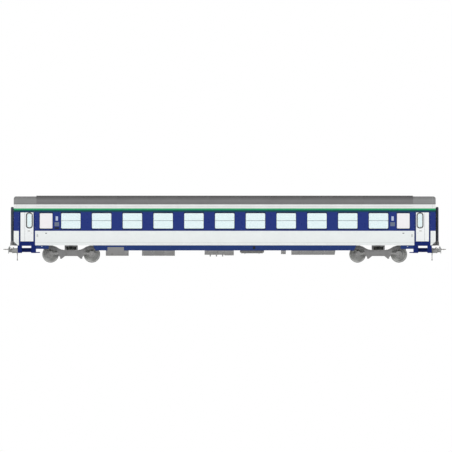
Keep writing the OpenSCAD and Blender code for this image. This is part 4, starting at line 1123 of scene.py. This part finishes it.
tank_shapes = [strap((x, y, tank_z), tank_r) for y in (tank_y, tank_y - 0.48)
               for x in (tank_low[0] + 0.1, (tank_low[0] + tank_high[0]) / 2, tank_high[0] - 0.1)]
drain_profile = [(0, 0.02), (0.03, 0.02), (0.036, 0.012), (0.05, 0.012)]
tank_shapes += [turned(drain_profile, (x, tank_y, tank_low[2] - 0.045), "z", 10)
                for x in (tank_low[0] + 0.3, tank_high[0] - 0.3)]
add_piece("tank_straps", mirrored(join(*tank_shapes), 1), "cast_iron")

pipe_end = BOGIE_X[1] - 0.35
pipes = [bar([(-pipe_end, y, z), (pipe_end, y, z)], r)
         for y, z, r in ((0.20, 1.10, 0.024), (0.13, 1.11, 0.016))]
clamp = soft_box(-0.02, 0.02, 0.165, 0.235, 1.068, 1.149)
clamps = repeated(clamp, [(x, 0, 0) for x in np.arange(-7.5, 7.6, 1.5)])
add_piece("underfloor_pipes", mirrored(join(*pipes, clamps), 1), "underframe_enamel")

rib_places = np.arange(-HALF_L + 1.9, HALF_L - 1.8, 0.62)
rib_places = rib_places[np.abs(np.abs(rib_places) - BOGIE_X[1]) > 0.36]
cross_rib = soft_box(-0.03, 0.03, 0.43, INNER_Y - 0.09, 1.085, 1.1495, 0.006)
cross_ribs = repeated(cross_rib, [(x, 0, 0) for x in rib_places])
add_piece("floor_ribs", mirrored(cross_ribs, 1), "underframe_enamel")

# %% [markdown]
# ## Marks on the sill
# Railways mark lifting points and fillers on the sill: here a white dot near each end, and a dark hatch near
# the middle. Both are slightly raised, because a flat mark on the sill's own plane would flicker.

# %% Small marks on the sill
dot = turned([(0, 0.024), (0.004, 0.024), (0.006, 0.015)], (11.15, SILL_FACE - 0.0008, 0.99), "y", 20)
hatch_rim = half_round(-0.010, 0.0, SILL_FACE - 0.0008, SILL_FACE + 0.005)
hatch = join(ring(0.15, 0.18, 0.012, hatch_rim, 1.795, 0.91),
             soft_box(1.725, 1.865, SILL_FACE - 0.001, SILL_FACE + 0.002, 0.825, 0.995, 0.001))
add_piece("sill_markers", mirrored(dot, 0, 1), "marker_white", slot="sill_paint")
add_piece("sill_hatches", mirrored(hatch, 1), "hatch_black", slot="sill_paint")

# %% [markdown]
# ## Bogies
# A bogie is what carries a coach round a curve. Its frame is welded from plate, so flanges run along the
# edges of each side beam. Coil springs stand between beam and bolster and over every axle box. A spring is
# a bar along a helix: the height grows with the angle, except in the last turn at each end, which lies flat
# on its seat.

# %% Springs, and dark plates in their nest that are a painted shade
BOX_TOP, SPRING_TOP = corners("springs_b")[0][2], corners("springs_b")[1][2]
BEAM_TOP, ARCH_FOOT = 0.774, 0.7995


def coil(x, radius, wire, z0, z1, turns, per_turn=16):
    """A compression spring: a helix whose height is clipped at both ends, so that its end turns lie flat."""
    t = np.linspace(0, 1, int(turns * per_turn) + 1)
    flat = 0.75 / turns
    lift = np.clip((t - flat) / (1 - 2 * flat), 0, 1)
    angle = 2 * np.pi * turns * t
    return bar(np.column_stack([x + radius * np.cos(angle), JOURNAL_Y + radius * np.sin(angle),
                                z0 + wire + (z1 - z0 - 2 * wire) * lift]), wire, 8)


def spring_seat(x, z, radius, height, sides):
    """A round plate under or over a spring: a turned part with a straight side."""
    return turned([(0, radius), (height, radius)], (x, JOURNAL_Y, z), "z", sides)


spring_shapes = []
for x in (-0.145, 0.145):
    spring_shapes += [coil(x, 0.086, 0.0175, BEAM_TOP + 0.010, SPRING_TOP - 0.010, 4.5),
                      coil(x, 0.050, 0.0110, BEAM_TOP + 0.010, SPRING_TOP - 0.010, 6.5, 12)]
    spring_shapes += [spring_seat(x, z, 0.105, 0.010, 24) for z in (BEAM_TOP + FIT, SPRING_TOP - 0.011)]
for x in (-AXLE_DX, AXLE_DX):
    spring_shapes.append(coil(x, 0.056, 0.012, BOX_TOP + 0.004, ARCH_FOOT - 0.004, 3.0))
    spring_shapes += [spring_seat(x, z, 0.070, 0.006, 20) for z in (BOX_TOP, ARCH_FOOT - 0.006)]
# Dark plates behind and between the bolster springs, with thin posts at their sides, fill the spring nest: a
# painted shade where the nest lies in shadow.
shade_plate_z = (BEAM_TOP + 0.002, SPRING_TOP - 0.002)
shade_plates = [soft_box(-0.2895, 0.2895, 0.887, 0.893, *shade_plate_z, 0.002),
          soft_box(-0.034, 0.034, JOURNAL_Y - 0.06, JOURNAL_Y + 0.06, shade_plate_z[0], shade_plate_z[1] - 0.03, 0.01)]
shade_plates += [soft_box(x - 0.003, x + 0.003, 0.8935, 1.03, *shade_plate_z, 0.002) for x in (-0.2865, 0.2865)]
add_on_bogies("spring_shade_plates", mirrored(join(*shade_plates), 1), "shade_plate_paint")
for end, x in zip("ab", BOGIE_X):
    add_piece(f"coil_springs_{end}", repeated(mirrored(join(*spring_shapes), 1), [(x, 0, 0)]), "spring_black",
              f"bogie_{end}", "spring_steel", stands_for=f"springs_{end}")

# %% [markdown]
# ## Bogie fittings
# A flange is a flat strip bent along the beam's edge, so it is a rectangle carried along a short path, and
# the path needs a point only where the plate bends. Axle box covers, dampers and their rubber eyes are
# turned parts: a lathe profile says all about them.

# %% Beam flanges, axle box covers and dampers
BEAM_FRONT = corners("bogie_frame_b")[1][1]
BEAM_MID, ARM, BOX_FACE = BEAM_FRONT - 0.075, AXLE_DX - 0.46, JOURNAL_Y + 0.08
under = [(ARM - 0.200, 0.232), (0.380, 0.410), (0.0, 0.410), (-0.380, 0.410), (0.200 - ARM, 0.232)]
arch = [(ARM - 0.245, BEAM_TOP), (ARM - 0.050, 0.856), (AXLE_DX - 0.330, 0.965), (AXLE_DX - 0.110, 1.037),
        (AXLE_DX + 0.170, 1.037), (AXLE_DX + 0.420, 0.890)]
beam_ribs = [soft_box(x - 0.005, x + 0.005, BEAM_FRONT - 0.001, BEAM_FRONT + 0.012, 0.43, 0.76, 0.003)
             for x in (0.42, 0.52)]
web_bolts = bolts([(x, BEAM_FRONT + AIR, z) for x in (-0.33, -0.26, 0.26, 0.33) for z in (0.70, 0.45)],
                  "y", 0.012)
over_arch = join(band(arch, 0.175, 0.010, BEAM_MID), *beam_ribs)
flanges = join(band(under, 0.175, 0.012, BEAM_MID), mirrored(over_arch, 0), web_bolts)
add_on_bogies("beam_flanges", mirrored(flanges, 1), "bogie_enamel")

box_shapes, damper_shapes = [], []
for side in (-1, 1):
    x = side * AXLE_DX
    box_shapes += [
        turned([(0, 0.150), (0.006, 0.150), (0.010, 0.140), (0.010, 0.095), (0.026, 0.090), (0.030, 0.080)],
               (x, BOX_FACE + AIR, AXLE_Z), "y", 32),
        bolts([(x + u, BOX_FACE + 0.0105, AXLE_Z + v) for u, v in circle(0.122, 8, 0.39)], "y", 0.011),
        turned([(0, 0.028), (0.012, 0.028), (0.016, 0.020)], (x, BOX_FACE + 0.0305, AXLE_Z), "y", 14),
        turned([(0, 0.075), (0.010, 0.075), (0.014, 0.060)],
               (side * (ARM + 0.03), BOX_FACE - 0.0045, AXLE_Z + 0.045), "y")]
    x += side * 0.235
    z0, z1 = AXLE_Z + 0.03, 0.845
    h = z1 - z0
    tube_profile = [(0, 0.012), (h * 0.1, 0.012), (h * 0.1, 0.026), (h * 0.55, 0.026), (h * 0.56, 0.031),
                    (h * 0.9, 0.031), (h * 0.9, 0.012), (h, 0.012)]
    damper_shapes.append(turned(tube_profile, (x, JOURNAL_Y + 0.028, z0), "z", 16))
    damper_shapes += [turned([(-0.022, 0.024), (-0.018, 0.028), (0.018, 0.028), (0.022, 0.024)],
                             (x, JOURNAL_Y + 0.028, z), "y", 14) for z in (z0, z1)]
    damper_shapes.append(soft_box(x - 0.07, x + 0.045, JOURNAL_Y - 0.05, JOURNAL_Y + 0.05,
                                  AXLE_Z - 0.035, AXLE_Z + 0.005, 0.006))
add_on_bogies("axle_box_covers", mirrored(join(*box_shapes), 1), "cast_iron")
add_on_bogies("dampers", mirrored(join(*damper_shapes), 1), "cast_iron")

# %% [markdown]
# ## Brakes
# Each axle has two discs, and a pad is a sector of a ring that stands on either side of a disc. The sector
# is drawn by angle between two radii. Over each pair of pads sits a cylinder, fed through a bent pipe. One
# quarter of a bogie is enough, since the rest is its mirror image.

# %% Brake pads, cylinders and frame pipes
DISC_Y, DISC_Z = 0.33, AXLE_Z + 0.08
pad_angle = np.linspace(-0.5, 0.5, 7)
pad_outline = [(AXLE_DX - r * math.cos(a), DISC_Z + r * math.sin(a))
               for r, angles in ((0.155, pad_angle), (0.285, pad_angle[::-1])) for a in angles]
brake_shapes = [extruded(pad_outline, *faces) for faces in
                ((DISC_Y - 0.0715, DISC_Y - 0.0615), (DISC_Y + 0.0615, DISC_Y + 0.0715))]
brake_shapes.append(turned([(0, 0.05), (0.01, 0.075), (0.14, 0.075), (0.15, 0.05)], (0.52, 0.25, 0.72), "y"))
brake_shapes.append(bar([(0.31, 0.25, 0.70), (0.42, 0.28, 0.72), (0.50, 0.32, 0.72)], 0.010, 8))
frame_pipe = bar([(0.30, y, 0.705) for y in np.linspace(-0.85, 0.85, 5)], 0.012, 8)
add_on_bogies("brake_pads", join(mirrored(join(*brake_shapes), 0, 1), mirrored(frame_pipe, 0)), "brake_iron")

# %% [markdown]
# ## Seats
# The pads are soft goods, so they are grown, not modelled: a box skin that is a little too small is treated
# as cloth and blown up by inner pressure, with no gravity. The faces crown and the sides pull in between
# corners. No point may move further than a cap, so the pad stays in its place. One subdivision smooths it.
# The seams are pressed in afterwards by a formula, because a simulation would blur them. One cushion and
# one back are enough: all the seats are copies of these two.

# %% Cloth simulation of one pad
def trial_object(shape, modifier):
    """A passing object with one modifier, to be worked on and taken away again."""
    points, faces = shape
    mesh = bpy.data.meshes.new("pad_trial")
    mesh.from_pydata(points.tolist(), [], [quad for group in faces for quad in group.tolist()])
    trial = bpy.data.objects.new("pad_trial", mesh)
    bpy.context.scene.collection.objects.link(trial)
    return trial, trial.modifiers.new("trial", modifier)


def solved_mesh(trial):
    """The modified mesh's points and its quads, as arrays."""
    done = trial.evaluated_get(bpy.context.evaluated_depsgraph_get()).data
    points = np.empty(len(done.vertices) * 3, np.float32)
    done.vertices.foreach_get("co", points)
    quads = np.empty(len(done.loops), np.int32)
    done.loops.foreach_get("vertex_index", quads)
    mesh = trial.data
    bpy.data.objects.remove(trial)
    bpy.data.meshes.remove(mesh)
    return points.reshape(-1, 3), quads.reshape(-1, 4)


def simulate(shape, cap, pressure=4.0, frames=20):
    """Inflates a closed skin with Blender's Cloth and gives the skin back, moved by no more than the cap."""
    points, faces = shape
    trial, cloth = trial_object(shape, "CLOTH")
    settings = cloth.settings
    settings.use_pressure = True
    settings.uniform_pressure_force = pressure
    settings.effector_weights.gravity = 0.0
    settings.quality = 6
    settings.mass = 0.25
    settings.tension_stiffness = settings.compression_stiffness = 12.0
    settings.shear_stiffness = 6.0
    settings.bending_stiffness = 0.6
    cloth.point_cache.frame_start, cloth.point_cache.frame_end = 1, frames
    for number in range(1, frames + 1):
        bpy.context.scene.frame_set(number)
    shift = solved_mesh(trial)[0] - points
    length = np.linalg.norm(shift, axis=1, keepdims=True)
    bpy.context.scene.frame_set(1)
    print("cloth moved a pad by up to %.0f mm, capped at %.0f mm" % (1000 * length.max(), 1000 * cap))
    return points + shift * np.minimum(1, cap / np.maximum(length, 1e-9)), faces


def grown(lines, radius, cap):
    skin = block_skin(lines, radius)
    skin = simulate(skin, cap)
    trial, smooth = trial_object(skin, "SUBSURF")
    smooth.levels = smooth.render_levels = 1
    points, quads = solved_mesh(trial)
    return points.astype(float), [quads]


# %% Shape the two pads
CUSHION_LOW, CUSHION_HIGH = corners("seat_cushions")
BACK_LOW, BACK_HIGH = corners("seat_backs")
SEAT_D, SEAT_W, BACK_T, BACK_TOP_T, BACK_LEAN = 0.500, 0.992, 0.095, 0.080, 0.066
SEAT_X, SEAT_Y = CUSHION_HIGH[0] - BAYS[-1], CUSHION_HIGH[1] - SEAT_W / 2


def spread(low, high, count):
    """Grid lines between two ends, closer together near the ends, by a sine."""
    even = np.linspace(0, 1, count)
    return low + (high - low) * (even - 0.08 * np.sin(2 * np.pi * even))


def seam(values, centre, width):
    """A smooth groove profile: 1 at the seam, 0 a width away, as a bell curve."""
    return np.exp(-((values - centre) / width) ** 2)


def cushion_pad(inset=0.013):
    """A seat cushion for two, in place over the middle of the coach's floor at a bay centre of 0."""
    y1 = CUSHION_HIGH[1]
    low = np.array([SEAT_X - SEAT_D, y1 - SEAT_W, CUSHION_LOW[2]]) + inset
    high = np.array([SEAT_X, y1, CUSHION_HIGH[2]]) - inset
    lines = [spread(low[0], high[0], 9), spread(low[1], high[1], 15), np.linspace(low[2], high[2], 4)]
    points, faces = grown(lines, 0.030, 0.012)
    top = np.clip((points[:, 2] - low[2]) / (high[2] - low[2]), 0, 1) ** 2
    groove = 0.016 * seam(points[:, 1], SEAT_Y, 0.016)
    channels = sum(0.005 * seam(points[:, 0], SEAT_X - SEAT_D * share, 0.012) for share in (0.3, 0.55, 0.8))
    points[:, 2] -= top * (groove + channels)
    points[:, 2] = np.clip(points[:, 2], CUSHION_LOW[2], CUSHION_HIGH[2])
    return points, faces


def back_pad(inset=0.011):
    """A backrest for two: the same skin, leaned over by a shear and thinner towards its top."""
    y1, z0, z1 = BACK_HIGH[1], BACK_LOW[2], BACK_HIGH[2]
    front_x = BACK_HIGH[0] - BAYS[-1] - BACK_TOP_T - BACK_LEAN
    lines = [np.linspace(inset, BACK_T - inset, 4), spread(y1 - SEAT_W + inset, y1 - inset, 15),
             spread(z0 + inset, z1 - inset, 13)]
    points, faces = grown(lines, 0.026, 0.010)
    front = np.clip(1 - points[:, 0] / BACK_T, 0, 1) ** 2
    head_z = z0 + (z1 - z0) * 0.72
    groove = 0.014 * seam(points[:, 1], y1 - SEAT_W / 2, 0.016) + 0.010 * seam(points[:, 2], head_z, 0.012)
    channels = sum(0.004 * seam(points[:, 2], z0 + (z1 - z0) * share, 0.012) for share in (0.22, 0.46))
    points[:, 0] += front * (groove + channels)
    share = (points[:, 2] - z0) / (z1 - z0)
    thin = 1 - share * (1 - BACK_TOP_T / BACK_T)
    points[:, 0] = front_x + BACK_LEAN * share + (points[:, 0] - BACK_T) * thin + BACK_TOP_T
    return points, faces


def everywhere(shape):
    """All places of a seat part: both seats of every bay, on both sides of the aisle."""
    return mirrored(repeated(mirrored(shape, 0), EVERY_BAY), 1)


cushions = add_piece("seat_pads", everywhere(cushion_pad()), "seat_cloth", slot="seat_fabric", sharp=75,
                     stands_for="seat_cushions")
backs = add_piece("back_pads", everywhere(back_pad()), "seat_cloth", slot="seat_fabric", sharp=75,
                  stands_for="seat_backs")

# %% [markdown]
# ## Seat fittings, racks and ceiling lights
# Piping hides the cushion's front seam. Armrests close each pair of seats at the aisle and between the two
# passengers, and a round handle at the aisle corner of each back gives standing passengers a hold.
# Over the windows, tubes make the luggage rack, and two rows of flat lamps light the saloon.

# %% Seat fittings
SEAT_TOP, AISLE_Y = CUSHION_HIGH[2], CUSHION_HIGH[1] - SEAT_W
line = frame_outline(SEAT_D - 0.05, SEAT_W - 0.05, 0.05)[0] + [SEAT_X - SEAT_D / 2, SEAT_Y]
piping = bar(np.insert(line, 2, SEAT_TOP - 0.028, axis=1), 0.005, 6, closed=True)
armrests = [soft_box(SEAT_X - 0.36, SEAT_X - 0.02, y - 0.025, y + 0.025,
                     SEAT_TOP + 0.19, SEAT_TOP + 0.225, 0.010) for y in (AISLE_Y + 0.021, SEAT_Y)]
bow = np.linspace(-np.pi / 2, np.pi / 2, 9)
back_face = np.full(9, BACK_HIGH[0] - BAYS[-1] + 0.018)
handle = bar(np.column_stack([back_face, AISLE_Y - 0.006 - 0.045 * np.cos(bow),
                              BACK_HIGH[2] - 0.12 + 0.07 * np.sin(bow)]), 0.010, 8)
add_piece("seat_piping", everywhere(piping), "piping_cloth")
add_piece("armrests", everywhere(join(*armrests)), "piping_cloth")
add_piece("seat_handles", everywhere(handle), "bare_steel")

# %% Racks and lamps
RACK_LOW, RACK_HIGH = corners("luggage_racks")
rack_edge = RACK_HIGH[1] - 0.4195
rack_rods = [bar([(RACK_LOW[0] + 0.02, y, z), (RACK_HIGH[0] - 0.02, y, z)], r) for y, z, r in
             ((rack_edge - 0.006, RACK_HIGH[2] + 0.035, 0.014),
              (rack_edge + 0.004, RACK_LOW[2] - 0.012, 0.010))]
bracket = extruded([(0, 0), (0.40, 0), (0.40, -0.16), (0.37, -0.16), (0.34, -0.05), (0.02, -0.02)],
                   -0.006, 0.006, "x")
brackets = repeated(bracket, [(x, rack_edge + 0.015, RACK_LOW[2] - FIT) for x in joints])
add_piece("rack_rails", mirrored(join(*rack_rods, brackets), 1), "rack_metal")
lamp_z = ROOF_HIGH[2] - 0.062 - 0.40 ** 2 / (2 * ARCH_R)
lamp = soft_box(-0.62, 0.62, 0.30, 0.42, lamp_z - 0.05, lamp_z - 0.012, 0.008)
add_piece("ceiling_lamps", mirrored(repeated(lamp, EVERY_BAY), 1), "light_diffuser")

# %% [markdown]
# ## Floor, light and camera
# A product view needs a pale floor that keeps the shadow, and a white background that adds no light of its
# own: the world is white only to camera, mirror and transmission rays, and dimmer to everything else.
# Two suns with a wide angle give soft shadows. The camera looks square at the side without perspective, as a
# side elevation is drawn.

# %% Studio floor
def studio_paint():
    """Near white where the camera sees it, and a little darker where it lights the coach."""
    f = Finish("studio_floor", shine=0.1)
    seen = f.add("LightPath").outputs["Is Camera Ray"]
    f.surface(Base_Color=f.mix(seen, f.mix(f.noise(0.3), "#eeeeec", "#f2f2f0"), "#fefefe"),
              Roughness=f.math("MULTIPLY_ADD", f.noise(0.4), 0.1, 0.8))
    return f.material


HALF_FLOOR = 400.0
floor_mesh = bpy.data.meshes.new("studio_floor")
floor_corners = [(x * HALF_FLOOR, y * HALF_FLOOR, 0) for x, y in ((-1, -1), (1, -1), (1, 1), (-1, 1))]
floor_mesh.from_pydata(floor_corners, [], [(0, 1, 2, 3)])
floor_mesh.materials.append(studio_paint())
studio = bpy.data.objects.new("studio_floor", floor_mesh)
studio.location.z = -0.001
bpy.context.scene.collection.objects.link(studio)

# %% World and suns
WORLD_LEVEL, KEY_LEVEL, FILL_LEVEL = 0.52, 1.52, 0.6
world = bpy.data.worlds.new("studio")
bpy.context.scene.world = world
world.use_nodes = True
tree = world.node_tree
background = tree.nodes["Background"]
background.inputs["Color"].default_value = (1, 1, 1, 1)
rays = tree.nodes.new("ShaderNodeLightPath").outputs
seen = rays["Is Camera Ray"]
for name in ("Is Glossy Ray", "Is Transmission Ray"):
    either = tree.nodes.new("ShaderNodeMath")
    either.operation = "MAXIMUM"
    tree.links.new(seen, either.inputs[0])
    tree.links.new(rays[name], either.inputs[1])
    seen = either.outputs[0]
level = tree.nodes.new("ShaderNodeMapRange")
level.inputs["To Min"].default_value = WORLD_LEVEL
tree.links.new(seen, level.inputs["Value"])
tree.links.new(level.outputs[0], background.inputs["Strength"])


def sun(name, strength, azimuth, height, angle):
    """A sun by compass: azimuth 0 shines from -Y, and its height is in degrees above the floor."""
    lamp_data = bpy.data.lights.new(name, "SUN")
    lamp_data.energy = strength
    lamp_data.angle = math.radians(angle)
    lamp_object = bpy.data.objects.new(name, lamp_data)
    lamp_object.rotation_euler = (math.radians(90 - height), 0, math.radians(azimuth))
    bpy.context.scene.collection.objects.link(lamp_object)


sun("key_sun", KEY_LEVEL, -22, 38, 25)
sun("fill_sun", FILL_LEVEL, 150, 45, 40)

# %% Camera
CAMERA_PLACE, VIEW_WIDTH = (0.079, -150.0, 2.232), 27.56
camera_data = bpy.data.cameras.new("side_camera")
camera_data.type = "ORTHO"
camera_data.ortho_scale = VIEW_WIDTH
camera_data.clip_end = 1000
camera = bpy.data.objects.new("side_camera", camera_data)
camera.location = CAMERA_PLACE
camera.rotation_euler = (math.radians(90), 0, 0)
bpy.context.scene.collection.objects.link(camera)
bpy.context.scene.camera = camera
bpy.context.scene.view_settings.view_transform = "Standard"
